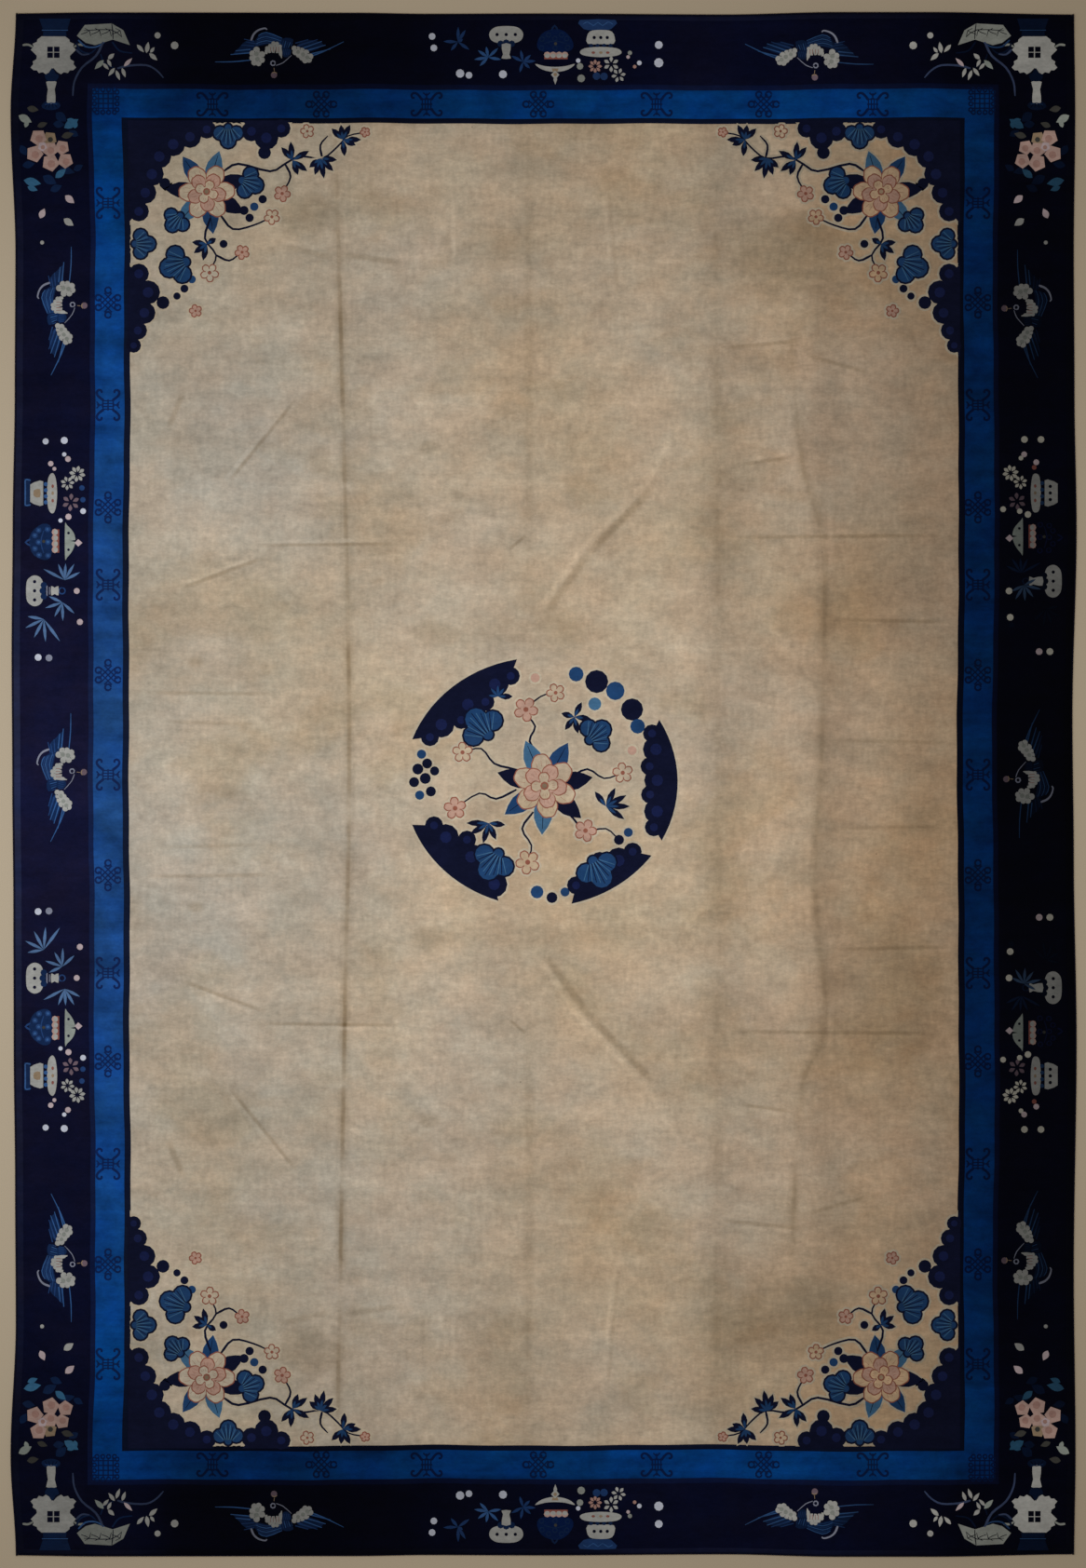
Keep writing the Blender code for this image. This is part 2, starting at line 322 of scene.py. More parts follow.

# The yarns under each painted light: how strongly each follows its painted light and shade, its
# streaks and its mottling. A dark yarn also says how early it turns to the ends' shares, and the tint
# that its dye is seen through in the painted sheen half way up the left side.
YARNS = {
    "Nap of dark wool": {
        "guard": (3.1, 0.4, 0.34, 0.7, (0.95, 1.0, 0.84)),
        "border_navy": (2.1, 0.4, 0.34, 0.7, (1.2, 0.96, 0.84)),
        "violet_navy": (1.6, 0.3, 0.3, 0.8, (1.0, 1.0, 0.85)),
        "band_blue": (1.15, 0.75, 0.8, 2.0, (8.0, 0.88, 0.68)),
        "line_navy": (1.2, 0.25, 0.2, 1.0, (1.0, 1.0, 0.85)),
        "emblem_navy": (1.1, 0.2, 0.25, 2.0, (1.6, 0.95, 0.84)),
        "cord_navy": (0.8, 0.2, 0.2, 1.0, (1.0, 1.0, 0.9)),
    },
    "Nap of blue wool": {
        "feather_blue": (1.0, 0.2, 0.36),
        "spray_blue": (1.0, 0.2, 0.36),
        "mid_blue": (1.3, 0.2, 0.36),
        "deep_blue": (1.4, 0.2, 0.36),
        "light_blue": (1.0, 0.15, 0.34),
    },
    "Nap of light wool": {
        "white": (0.85, 0.1, 0.14),
        "cream": (0.95, 0.1, 0.16),
        "ivory": (1.0, 0.14, 0.24),
        "grey_ivory": (1.0, 0.14, 0.26),
        "pale_line": (1.0, 0.1, 0.16),
        "pink": (0.9, 0.12, 0.3),
        "mauve": (1.1, 0.12, 0.3),
        "brick": (0.9, 0.12, 0.24),
        "tan": (1.0, 0.12, 0.24),
        "slate": (1.0, 0.15, 0.34),
        "blush": (0.8, 0.15, 0.3),
        "peony_shade": (0.7, 0.15, 0.3),
        "olive": (1.0, 0.12, 0.24),
        "pale_green": (1.0, 0.12, 0.24),
    },
    "Nap of field wool": {
        "field_navy": (0.5, 0.2, 0.4),
        "field_violet": (0.5, 0.2, 0.4),
        "field_blue": (0.8, 0.2, 0.4),
        "field_teal": (0.8, 0.2, 0.36),
        "field_ivory": (1.0, 0.12, 0.26),
        "field_pink": (1.0, 0.12, 0.3),
        "field_brick": (1.0, 0.12, 0.26),
        "carved_halo": (1.0, 0.1, 0.2),
    },
}


def node(tree, kind, inputs=(), **settings):
    """Adds a shader node. inputs are values or other nodes' outputs, by place or by name."""
    made = tree.nodes.new("ShaderNode" + kind)
    for name, value in settings.items():
        setattr(made, name, value)
    entries = inputs.items() if isinstance(inputs, dict) else enumerate(inputs)
    for key, value in entries:
        if isinstance(value, bpy.types.NodeSocket):
            tree.links.new(value, made.inputs[key])
        elif value is not None:
            made.inputs[key].default_value = value
    return made


def math_node(tree, operation, *inputs, clamp=False):
    """The output of one Math node."""
    return node(tree, "Math", inputs, operation=operation, use_clamp=clamp).outputs[0]


def product(tree, value, *factors):
    """Values multiplied together."""
    for factor in factors:
        value = math_node(tree, "MULTIPLY", value, factor)
    return value


def linear(tree, value, slope, start):
    """A value times a slope, from a start."""
    return math_node(tree, "MULTIPLY_ADD", value, slope, start)


def vector_node(tree, operation, *inputs):
    """The output of one Vector Math node: a number where it measures, and otherwise a vector."""
    made = node(tree, "VectorMath", inputs, operation=operation)
    return made.outputs["Value" if operation in ("LENGTH", "DISTANCE", "DOT_PRODUCT") else "Vector"]


def ramp(tree, value, low, high, start=0.0, end=1.0, smooth=False):
    """What a value's run from low to high becomes on the run from start to end."""
    kind = "SMOOTHERSTEP" if smooth else "LINEAR"
    return node(tree, "MapRange", (value, low, high, start, end), interpolation_type=kind).outputs[0]


def stretched(tree, place, *scale):
    """A place whose coordinates are scaled, so that a pattern on it turns over more or less often."""
    return node(tree, "Mapping", {"Vector": place, "Scale": scale}).outputs[0]


def noise(tree, place, scale, detail, roughness=0.5, distortion=0.0):
    """The output of a Noise texture."""
    return node(tree, "TexNoise", {
        "Vector": place, "Scale": scale, "Detail": detail, "Roughness": roughness,
        "Distortion": distortion}).outputs[0]


def curve_of(tree, value, table):
    """The output of a Float Curve that reads a table of (place, share) rows."""
    low, high = table[0][0], table[-1][0]
    made = node(tree, "FloatCurve", {"Factor": 1.0, "Value": ramp(tree, value, low, high)})
    curve = made.mapping.curves[0]
    rows = [((station - low) / (high - low), share) for station, share in table]
    curve.points[0].location, curve.points[-1].location = rows[0], rows[-1]
    for row in rows[1:-1]:
        curve.points.new(*row)
    made.mapping.update()
    return made.outputs[0]


def new_group(name, inputs, outputs):
    """An empty shader node group, what it is given and its output node. An input whose default is a
    number is a number, and the others are vectors."""
    group = bpy.data.node_groups.new(name, "ShaderNodeTree")
    for key, default in inputs.items():
        kind = "NodeSocketFloat" if isinstance(default, float) else "NodeSocketVector"
        socket = group.interface.new_socket(key, in_out="INPUT", socket_type=kind)
        if default is not None:
            socket.default_value = default
    for key in outputs:
        group.interface.new_socket(key, in_out="OUTPUT", socket_type="NodeSocketFloat")
    return group, group.nodes.new("NodeGroupInput").outputs, group.nodes.new("NodeGroupOutput")


def closed(group, result, **outputs):
    """A group whose results are linked to its named outputs."""
    for name, value in outputs.items():
        group.links.new(value, result.inputs[name])
    return group


def pile_grain_group(name):
    """Tuft ends in uneven weft rows: a tone near 1, with painted shade where the tufts are lower, and a
    height between 0 and 1.
    """
    group, given, result = new_group(name, {"Vector": None, "Depth": 0.1}, ("Tone", "Height"))
    rows = stretched(group, given["Vector"], 0.55, 1.0, 1.0)
    tufts = noise(group, rows, 170.0, 3.0, 0.65)
    clumps = noise(group, rows, 62.0, 3.0, 0.6)
    height = linear(group, tufts, 0.5, product(group, clumps, 0.5))
    swing = product(group, math_node(group, "SUBTRACT", height, 0.5), given["Depth"])
    return closed(group, result, Tone=linear(group, swing, 6.0, 1.0), Height=height)


def abrash_group(name):
    """Dye streaks that run across the width and soft mottling: a tone near 1 and a hue share."""
    group, given, result = new_group(
        name, {"Vector": None, "Streaks": 0.1, "Mottling": 0.1}, ("Tone", "Hue"))
    streaks = noise(group, stretched(group, given["Vector"], 0.9, 9.0, 1.0), 1.6, 5.0, 0.62)
    spots = stretched(group, given["Vector"], 0.8, 1.0, 1.0)
    mottling = noise(group, spots, 11.0, 4.0, 0.6, 0.4)
    hue = noise(group, spots, 7.0, 5.0, 0.65)
    swings = [
        product(group, math_node(group, "SUBTRACT", pattern, 0.5), given[strength])
        for pattern, strength in ((streaks, "Streaks"), (mottling, "Mottling"))]
    tone = linear(group, math_node(group, "ADD", *swings), 2.0, 1.0)
    return closed(group, result, Tone=tone, Hue=ramp(group, hue, 0.38, 0.62))


def painted_light_group(name):
    """Painted light and shade: how light the pile is painted by its place, and where its painted sheen lies.
    """
    group, given, result = new_group(
        name, {"Vector": None, "Strength": 1.0, "Early": 1.0}, ("Share", "Sheen"))
    place = node(group, "SeparateXYZ", (given["Vector"],)).outputs
    middle, ends = (curve_of(group, place[0], PAINTED_LIGHTS[name][part]) for part in ("middle", "ends"))
    shift = curve_of(group, math_node(group, "ABSOLUTE", place[1]), PAINTED_LIGHTS[name]["shift"])
    late = math_node(group, "POWER", shift, given["Early"])
    both = node(group, "Mix", {"Factor": late, "A": middle, "B": ends}).outputs[0]
    share = math_node(group, "POWER", both, given["Strength"])
    # The painted sheen lies on the left side's border, and fades where the turn to the ends begins.
    left = ramp(group, place[0], -0.95, -1.15)
    near = math_node(group, "MULTIPLY_ADD", shift, -2.4, 1.5, clamp=True)
    return closed(group, result, Share=share, Sheen=product(group, left, near))


def effect(tree, name, inputs, maker):
    """What a shared effect puts out; its group is built the first time that it is asked for."""
    group = bpy.data.node_groups.get(name) or maker(name)
    return node(tree, "Group", inputs, node_tree=group).outputs


def new_wool(name):
    """A new material, its node tree and the carpet's own coordinates in it."""
    material = bpy.data.materials.new(name)
    material.use_nodes = True
    tree = material.node_tree
    return material, tree, node(tree, "TexCoord").outputs["Object"]


def wool_shader(tree, colour, height, roughness, relief):
    """Feeds a wool material's shader: its colour and its pile's relief."""
    shader = tree.nodes["Principled BSDF"]
    tree.links.new(colour, shader.inputs["Base Color"])
    shader.inputs["Roughness"].default_value = roughness
    shader.inputs["Specular IOR Level"].default_value = 0.05
    bump = node(tree, "Bump", {"Strength": relief, "Distance": 0.0015, "Height": height})
    tree.links.new(bump.outputs[0], shader.inputs["Normal"])


def mixed(tree, factor, first, second, blend="MIX"):
    """The output of a colour Mix node."""
    made = node(tree, "Mix", data_type="RGBA", blend_type=blend)
    for socket, value in ((made.inputs[0], factor), (made.inputs[6], first), (made.inputs[7], second)):
        if isinstance(value, bpy.types.NodeSocket):
            tree.links.new(value, socket)
        else:
            socket.default_value = value if isinstance(value, float) else (*value, 1.0)
    return made.outputs[2]


def times(tree, colour, factor):
    """A colour times a factor that changes over the surface."""
    grey = node(tree, "CombineColor", (factor, factor, factor)).outputs[0]
    return mixed(tree, 1.0, colour, grey, "MULTIPLY")


def yarn_material(yarn):
    """The dyed wool of a border, a line or a motif, made once for each yarn."""
    name = yarn.replace("_", " ").capitalize() + " wool"
    if name in bpy.data.materials:
        return bpy.data.materials[name]
    painted_light_name = next(key for key, yarns in YARNS.items() if yarn in yarns)
    strength, streaks, mottling, *dark = YARNS[painted_light_name][yarn]
    early, sheen = dark or (1.0, None)
    material, tree, place = new_wool(name)
    grain = effect(tree, "Pile grain", {"Vector": place, "Depth": 0.16}, pile_grain_group)
    abrash = effect(
        tree, "Abrash", {"Vector": place, "Streaks": streaks, "Mottling": mottling}, abrash_group)
    # Painted light and shade by place, and on dark wool the painted sheen.
    painted_light = effect(tree, painted_light_name, {"Vector": place, "Strength": strength, "Early": early}, painted_light_group)
    base = tuple(getattr(bpy.context.scene.carpet_yarns, yarn))
    if sheen:
        faded = (1.4 * base[0], 1.08 * base[1], 0.88 * base[2])
    else:
        faded = tuple(0.84 * channel + 0.03 * max(base) for channel in base)
    colour = mixed(tree, abrash["Hue"], base, faded)
    # Where the painted sheen lies, the dye is multiplied by the yarn's sheen tint.
    if sheen:
        tint = mixed(tree, painted_light["Sheen"], (1.0, 1.0, 1.0), sheen)
        colour = mixed(tree, 1.0, colour, tint, "MULTIPLY")
    tone = product(tree, grain["Tone"], abrash["Tone"], painted_light["Share"])
    wool_shader(tree, times(tree, colour, tone), grain["Height"], 0.92, 0.5)
    return material


# --- The field's wool ---

# The ivory field's tone across the width, with painted shade that grows towards the right where the
# light falls off: (place in X, share of its dye and painted light).
FIELD_DYE_AND_SHADE_ACROSS = (
    (-1.2, 0.95), (-0.89, 1.0), (-0.58, 0.97), (-0.3, 1.05), (-0.06, 0.97), (0.15, 1.01), (0.31, 1.04),
    (0.42, 1.01), (0.5, 0.88), (0.66, 0.96), (0.76, 0.88), (0.81, 0.78), (0.9, 0.84), (1.1, 0.7),
    (1.2, 0.68))

# The field's uneven dye and weave, and its uneven fold marks: how often each noise turns over in X and
# in Y, and its detail. In order: broad tone, clouds of warmth, stains, weft rows, warps and how
# strongly the folds' painted shade and dirt show along them.
FIELD_NOISES = (
    ((2.3, 2.3), 4.0), ((1.3, 1.5), 5.0), ((2.6, 3.4), 6.0), ((30.0, 66.0), 3.0), ((80.0, 26.0), 3.0),
    ((9.0, 5.0), 4.0))

# Painted shade and highlights of the creases and ripples: centre line from a start to an end (X,
# distance in Y from the middle), how wide it is, and how much it darkens the wool as painted shade,
# partly dirt; below zero is a lighter line of painted highlight on a crease's lit side.
CREASES = (
    ((-0.821, 0.684), (-0.405, 0.688), 0.005, 0.09), ((-0.821, 0.694), (-0.435, 0.698), 0.005, -0.1),
    ((-1.04, 0.56), (-0.79, 0.652), 0.006, 0.09), ((-1.04, 0.572), (-0.79, 0.664), 0.006, -0.09),
    ((-0.902, 0.861), (-0.702, 1.108), 0.005, 0.08), ((-0.914, 0.866), (-0.714, 1.113), 0.005, -0.06),
    ((-1.074, 1.015), (-1.029, 1.122), 0.008, 0.08), ((-0.914, 1.196), (-0.622, 1.2), 0.006, -0.07),
    ((0.509, 1.247), (0.736, 1.268), 0.0055, 0.08), ((0.509, 1.259), (0.736, 1.28), 0.005, -0.06),
    ((0.749, 1.228), (0.935, 1.175), 0.0055, 0.08), ((0.562, 0.914), (0.709, 0.935), 0.005, 0.08),
    ((0.562, 0.926), (0.709, 0.947), 0.005, -0.06), ((0.815, 0.87), (0.822, 0.6), 0.007, -0.06),
    ((-1.15, 0.263), (-0.76, 0.258), 0.005, 0.07), ((-1.1, 0.18), (-0.8, 0.172), 0.005, 0.05),
    ((0.52, 0.706), (1.13, 0.712), 0.005, 0.09), ((0.82, 0.472), (1.16, 0.464), 0.005, 0.09),
    ((0.84, 0.126), (1.15, 0.12), 0.005, 0.07), ((0.168, 1.73), (0.2, 1.37), 0.0055, -0.12),
    ((0.183, 1.73), (0.216, 1.37), 0.0045, 0.035), ((-0.262, 1.71), (-0.255, 1.4), 0.005, -0.07),
    ((-0.042, 0.54), (-0.042, 1.84), 0.012, 0.04), ((-0.02, 0.49), (0.12, 0.69), 0.008, -0.13),
    ((0.1, 0.665), (0.3, 0.87), 0.008, -0.14), ((0.0, 0.48), (0.14, 0.675), 0.01, 0.09),
    ((0.125, 0.655), (0.315, 0.85), 0.01, 0.11), ((0.28, 0.84), (0.395, 1.04), 0.008, -0.1),
    ((-0.58, 1.515), (-0.4, 1.49), 0.008, 0.07), ((-0.56, 1.262), (-0.36, 1.29), 0.007, -0.06),
    ((-0.75, 1.54), (-0.6, 1.505), 0.008, 0.06), ((-0.098, 0.672), (-0.05, 0.712), 0.004, 0.1),
    ((-0.78, 1.31), (-0.59, 1.285), 0.006, -0.08))

# Soft stains and rubbed places: centre (X, distance in Y from the middle), half sizes, darkening.
PATCHES = (
    ((-0.675, 1.62), (0.13, 0.08), 0.09), ((-0.13, 1.54), (0.16, 0.07), 0.05),
    ((0.68, 1.52), (0.22, 0.16), 0.1), ((0.38, 0.385), (0.07, 0.03), -0.08),
    ((0.257, 0.366), (0.05, 0.03), -0.08), ((-0.58, 0.852), (0.28, 0.016), -0.06),
    ((-0.05, 0.44), (0.38, 0.05), 0.04), ((-0.95, 0.96), (0.16, 0.12), 0.04),
    ((0.98, 0.64), (0.22, 0.3), 0.07), ((-0.64, 0.8), (0.1, 0.07), -0.05),
    ((-0.329, 0.443), (0.09, 0.05), 0.06), ((-0.329, 0.962), (0.04, 0.025), 0.07),
    ((-0.994, 0.35), (0.03, 0.02), 0.09))

# How much each lengthwise fold line darkens the wool with painted shade and dirt, in its thin core and
# in its wide halo.
FOLD_DIRT_AND_SHADE = ((0.085, 0.065), (0.016, 0.035), (0.03, 0.06))


def crease_group(name):
    """A soft line between two points, as a mask that is 1 on the line and fades at its ends."""
    group, given, result = new_group(
        name, {"Vector": None, "Start": None, "End": None, "Width": 0.005}, ("Mask",))
    run = vector_node(group, "SUBTRACT", given["End"], given["Start"])
    away = vector_node(group, "SUBTRACT", given["Vector"], given["Start"])
    forward, length = (vector_node(group, "DOT_PRODUCT", reach, run) for reach in (away, run))
    share = math_node(group, "DIVIDE", forward, length, clamp=True)
    distance = vector_node(group, "DISTANCE", away, vector_node(group, "SCALE", run, None, None, share))
    line = ramp(group, distance, 0.0, product(group, given["Width"], 2.0), 1.0, 0.0, smooth=True)
    ends = product(group, math_node(group, "SUBTRACT", 1.0, share), share)
    fade = math_node(group, "MULTIPLY", ends, 6.0, clamp=True)
    return closed(group, result, Mask=product(group, line, fade))


def patch_group(name):
    """A soft uneven spot round a centre, as a mask that is 1 in its middle."""
    group, given, result = new_group(
        name, {"Vector": None, "Centre": None, "Half": (0.1, 0.1, 0.1)}, ("Mask",))
    away = vector_node(group, "SUBTRACT", given["Vector"], given["Centre"])
    distance = vector_node(group, "LENGTH", vector_node(group, "DIVIDE", away, given["Half"]))
    torn = noise(group, given["Vector"], 14.0, 3.0)
    edge = linear(group, torn, 0.9, math_node(group, "SUBTRACT", distance, 0.45))
    return closed(group, result, Mask=ramp(group, edge, 0.2, 1.2, 1.0, 0.0, smooth=True))


def fold_mark(tree, place, path, core, halo):
    """The painted shade and dirt along a lengthwise fold line: a thin dark core in a wide soft halo."""
    room, fade = 0.4, 0.2
    first, last = path[0][0], path[-1][0]
    crest = sum(x for station, x in path) / len(path)
    offsets = [(station, 0.5 + (x - crest) / room) for station, x in path]
    drift = linear(tree, curve_of(tree, place[1], offsets), room, crest - room / 2)
    aside = math_node(tree, "ABSOLUTE", math_node(tree, "SUBTRACT", place[0], drift))
    thin = ramp(tree, aside, 0.001, 0.010, core, 0.0, smooth=True)
    wide = ramp(tree, aside, 0.0, 0.028, halo, 0.0, smooth=True)
    start = ramp(tree, place[1], first, first + fade)
    stop = ramp(tree, place[1], last - fade, last, 1.0, 0.0)
    return product(tree, math_node(tree, "ADD", thin, wide), product(tree, start, stop))


def field_soil_and_shade(tree, place, fold_unevenness):
    """How much the creases' painted shade and highlights, the stains and the folds' painted shade and dirt
    darken the field's wool.
    """
    folded = node(tree, "CombineXYZ", (place[0], math_node(tree, "ABSOLUTE", place[1]), 0.0)).outputs[0]
    marks = []
    for start, end, width, dark in CREASES:
        line = effect(tree, "Crease", {
            "Vector": folded, "Start": (*start, 0.0), "End": (*end, 0.0), "Width": width}, crease_group)
        marks.append((line["Mask"], dark))
    for centre, half, dark in PATCHES:
        spot = effect(tree, "Patch", {
            "Vector": folded, "Centre": (*centre, 0.0), "Half": (*half, 1.0)}, patch_group)
        marks.append((spot["Mask"], dark))
    # The folds' painted shade and dirt, made uneven along them.
    worn = ramp(tree, fold_unevenness, 0.38, 0.62, 0.25, 1.35)
    for (crest, half_width, path), (core, halo) in zip(LONG_FOLDS, FOLD_DIRT_AND_SHADE):
        marks.append((product(tree, fold_mark(tree, place, path, core, halo), worn), 1.0))
    soil_and_shade = 0.0
    for mask, dark in marks:
        soil_and_shade = linear(tree, mask, dark, soil_and_shade)
    return soil_and_shade


def field_specks(tree, place):
    """Small specks in some of the cells of a pattern, as a mask."""
    cells = node(tree, "TexVoronoi", {"Vector": place, "Scale": 6.0}).outputs
    near = ramp(tree, cells["Distance"], 0.010, 0.018, 1.0, 0.0)
    pick = node(tree, "SeparateColor", (cells["Color"],)).outputs[0]
    return product(tree, near, math_node(tree, "GREATER_THAN", pick, 0.55))


def field_material():
    """The undyed ivory wool of the field, with its streaks and stains, and painted light and shade across it
    and along its folds and creases.
    """
    dyes = bpy.context.scene.carpet_yarns
    material, tree, place = new_wool("Field ivory wool")
    apart = node(tree, "SeparateXYZ", (place,)).outputs
    grain = effect(tree, "Pile grain", {"Vector": place, "Depth": 0.14}, pile_grain_group)
    abrash = effect(tree, "Abrash", {"Vector": place, "Streaks": 0.18, "Mottling": 0.3}, abrash_group)
    broad, clouds, stains, rows, warps, fold_unevenness = (
        noise(tree, stretched(tree, place, *turns, 1.0), 1.0, detail) for turns, detail in FIELD_NOISES)
    soil_and_shade = field_soil_and_shade(tree, apart, fold_unevenness)
    stain = ramp(tree, stains, 0.53, 0.6)

    tone = product(tree, grain["Tone"], abrash["Tone"], curve_of(tree, apart[0], FIELD_DYE_AND_SHADE_ACROSS))
    for pattern, swing, full in (
            (rows, 0.32, 0.84), (warps, 0.36, 0.82), (broad, 0.38, 0.81), (stain, -0.05, 1.012)):
        tone = product(tree, tone, linear(tree, pattern, swing, full))
    tone = product(tree, tone, math_node(tree, "SUBTRACT", 1.0, soil_and_shade))
    specks = linear(tree, field_specks(tree, place), -0.35, 1.0)
    tone = product(tree, tone, specks)

    colour = mixed(tree, abrash["Hue"], tuple(dyes.field_tan), tuple(dyes.field_grey))
    # Painted light colour: cooler towards the left, under the window, and warmer towards the right; then the
    # warm clouds and the stains' tint.
    for share, tint in (
            (ramp(tree, apart[0], -0.1, -0.85), (0.91, 0.985, 1.08)),
            (ramp(tree, apart[0], 0.45, 0.95), (1.02, 0.94, 0.88)),
            (ramp(tree, clouds, 0.38, 0.62), (1.025, 0.96, 0.86)), (stain, (1.01, 0.975, 0.93))):
        colour = mixed(tree, 1.0, colour, mixed(tree, share, (1.0, 1.0, 1.0), tint), "MULTIPLY")
    # The painted shade and dirt pull the colour towards a brown.
    held = math_node(tree, "MULTIPLY", soil_and_shade, 3.2, clamp=True)
    soiled_and_shaded = mixed(tree, held, colour, tuple(dyes.field_soil_and_shade))
    wool_shader(tree, times(tree, soiled_and_shaded, tone), grain["Height"], 0.95, 0.45)
    return material


# --- Sizes and colours that a user may change ---

def colour_setting(name, description, default):
    """A colour property of a yarn."""
    return FloatVectorProperty(
        name=name, description=description, default=default, subtype="COLOR", size=3, min=0.0, max=1.0)


def length_setting(name, description, default):
    """A length property in metres."""
    return FloatProperty(
        name=name, description=description, default=default, min=0.0, unit="LENGTH", subtype="DISTANCE")


class CarpetYarns(bpy.types.PropertyGroup):
    """The dyes of the carpet's wool."""
    field_tan: colour_setting("Field tan", "Warm tone of the ivory field", (0.612, 0.482, 0.359))
    field_grey: colour_setting("Field grey", "Cool tone of the ivory field", (0.572, 0.486, 0.378))
    # A brown that the folds' painted shade and dirt, and the creases' painted shade, pull the field towards.
    field_soil_and_shade: colour_setting("Field soil", "Brown that the folds hold", (0.33, 0.225, 0.12))
    guard: colour_setting("Guard", "Outermost stripe", (0.02, 0.028, 0.104))
    border_navy: colour_setting("Border navy", "Ground of the wide border", (0.0064, 0.0096, 0.05))
    violet_navy: colour_setting("Violet navy", "Line outside the blue band", (0.008, 0.018, 0.095))
    band_blue: colour_setting("Band blue", "Ground of the blue band", (0.0014, 0.0775, 0.405))
    line_navy: colour_setting("Line navy", "Line round the field", (0.006, 0.012, 0.045))
    emblem_navy: colour_setting("Emblem navy", "Knots and frets on the blue band", (0.004, 0.021, 0.123))
    cord_navy: colour_setting("Cord navy", "Overcast edge", (0.009, 0.01, 0.03))
    white: colour_setting("White", "Small bright dots", (0.66, 0.7, 0.84))
    cream: colour_setting("Cream", "Bright dots on the right side", (0.69, 0.665, 0.58))
    ivory: colour_setting("Ivory", "Light parts of the border's motifs", (0.447, 0.451, 0.44))
    grey_ivory: colour_setting("Grey ivory", "Bowls and handles", (0.3, 0.32, 0.3))
    pale_line: colour_setting("Pale line", "Thin light strokes", (0.27, 0.29, 0.39))
    feather_blue: colour_setting("Feather blue", "Feathers of the cranes", (0.04, 0.125, 0.35))
    spray_blue: colour_setting("Spray blue", "Sprays at the sides", (0.094, 0.188, 0.39))
    mauve: colour_setting("Mauve", "Mauve blossoms", (0.2, 0.14, 0.18))
    mid_blue: colour_setting("Mid blue", "Sprays and feathers", (0.019, 0.062, 0.21))
    deep_blue: colour_setting("Deep blue", "Covered vases and leaves", (0.008, 0.027, 0.1))
    light_blue: colour_setting("Light blue", "Light leaves", (0.05, 0.19, 0.37))
    pink: colour_setting("Pink", "Peony petals", (0.55, 0.368, 0.326))
    brick: colour_setting("Brick", "Petal centres and edges", (0.3, 0.1, 0.08))
    tan: colour_setting("Tan", "Tan petals and eyes", (0.36, 0.26, 0.17))
    slate: colour_setting("Slate", "Thin stems of the corners", (0.0432, 0.0638, 0.1404))
    blush: colour_setting("Blush", "Loose petals", (0.59, 0.478, 0.515))
    peony_shade: colour_setting("Peony shade", "Inside of the peony petals", (0.44, 0.255, 0.22))
    olive: colour_setting("Olive", "Faded leaves", (0.061, 0.06, 0.055))
    pale_green: colour_setting("Pale green", "Pale vase and leaves", (0.335, 0.378, 0.352))
    field_navy: colour_setting("Field navy", "Dark clouds and stems", (0.006, 0.008, 0.03))
    field_violet: colour_setting("Field violet", "Eyes of the dark clouds", (0.01, 0.016, 0.075))
    field_blue: colour_setting("Field blue", "Blue leaves and petals", (0.016, 0.062, 0.18))
    field_teal: colour_setting("Field teal", "Lighter blue of leaves", (0.06, 0.165, 0.31))
    field_ivory: colour_setting("Field ivory", "Light petals", (0.68, 0.58, 0.44))
    field_pink: colour_setting("Field pink", "Rose petals", (0.6, 0.37, 0.29))
    field_brick: colour_setting("Field brick", "Outlines of petals", (0.35, 0.12, 0.08))
    carved_halo: colour_setting("Carved halo", "Pale clipped line round dark shapes", (0.64, 0.545, 0.41))


class CarpetSizes(bpy.types.PropertyGroup):
    """The sizes of the carpet's fine forms."""
    ground_step: length_setting("Ground step", "Spacing of the pile's mesh lines", 0.018)
    back_step: length_setting("Back step", "Spacing of the ground weave's mesh lines", 0.024)
    carved_rim: length_setting("Carved rim", "Width of the clipped line between colours", 0.0018)
    carved_drop: length_setting("Carved drop", "Depth of the clipped line between colours", 0.0008)
    relief: length_setting("Relief", "How far a motif stands above its ground", 0.0006)
    wrap_pitch: length_setting("Wrap pitch", "Length of edge that one turn of yarn covers", 0.005)
    halo: FloatProperty(
        name="Halo", description="Width of the pale line round dark shapes, in cartoon squares", default=2.2)


class CarpetStage(bpy.types.PropertyGroup):
    """The floor, light and camera."""
    floor: colour_setting("Floor", "Plain floor", (0.6, 0.5, 0.37))
    camera_height: length_setting("Camera height", "Height of the camera above the pile", 6.224)
    lens: FloatProperty(name="Lens", description="Focal length on a 36 mm frame", default=50.0, unit="CAMERA")
    key_power: FloatProperty(name="Key power", description="Overhead soft light", default=60.0, unit="POWER")
    side_power: FloatProperty(
        name="Side power", description="Low light from the left", default=18.0, unit="POWER")
    fill: FloatProperty(name="Fill", description="Even light from all round", default=0.23)


# --- The ground, the pile and the edges ---

class CARPET_OT_back(bpy.types.Operator):
    """Weave the cotton ground that carries the pile"""
    bl_idname = "carpet.back"
    bl_label = "Cotton back"

    def execute(self, context):
        sizes = context.scene.carpet_sizes
        mesh = flat_area(area_halves(-1), sizes.back_step)
        thicken(mesh, 0.0, BACK_TOP)
        settle(mesh, drawn_true=True)
        piece = finished(mesh, "cotton_back", [back_material()])
        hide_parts("carpet")
        return {"FINISHED"}


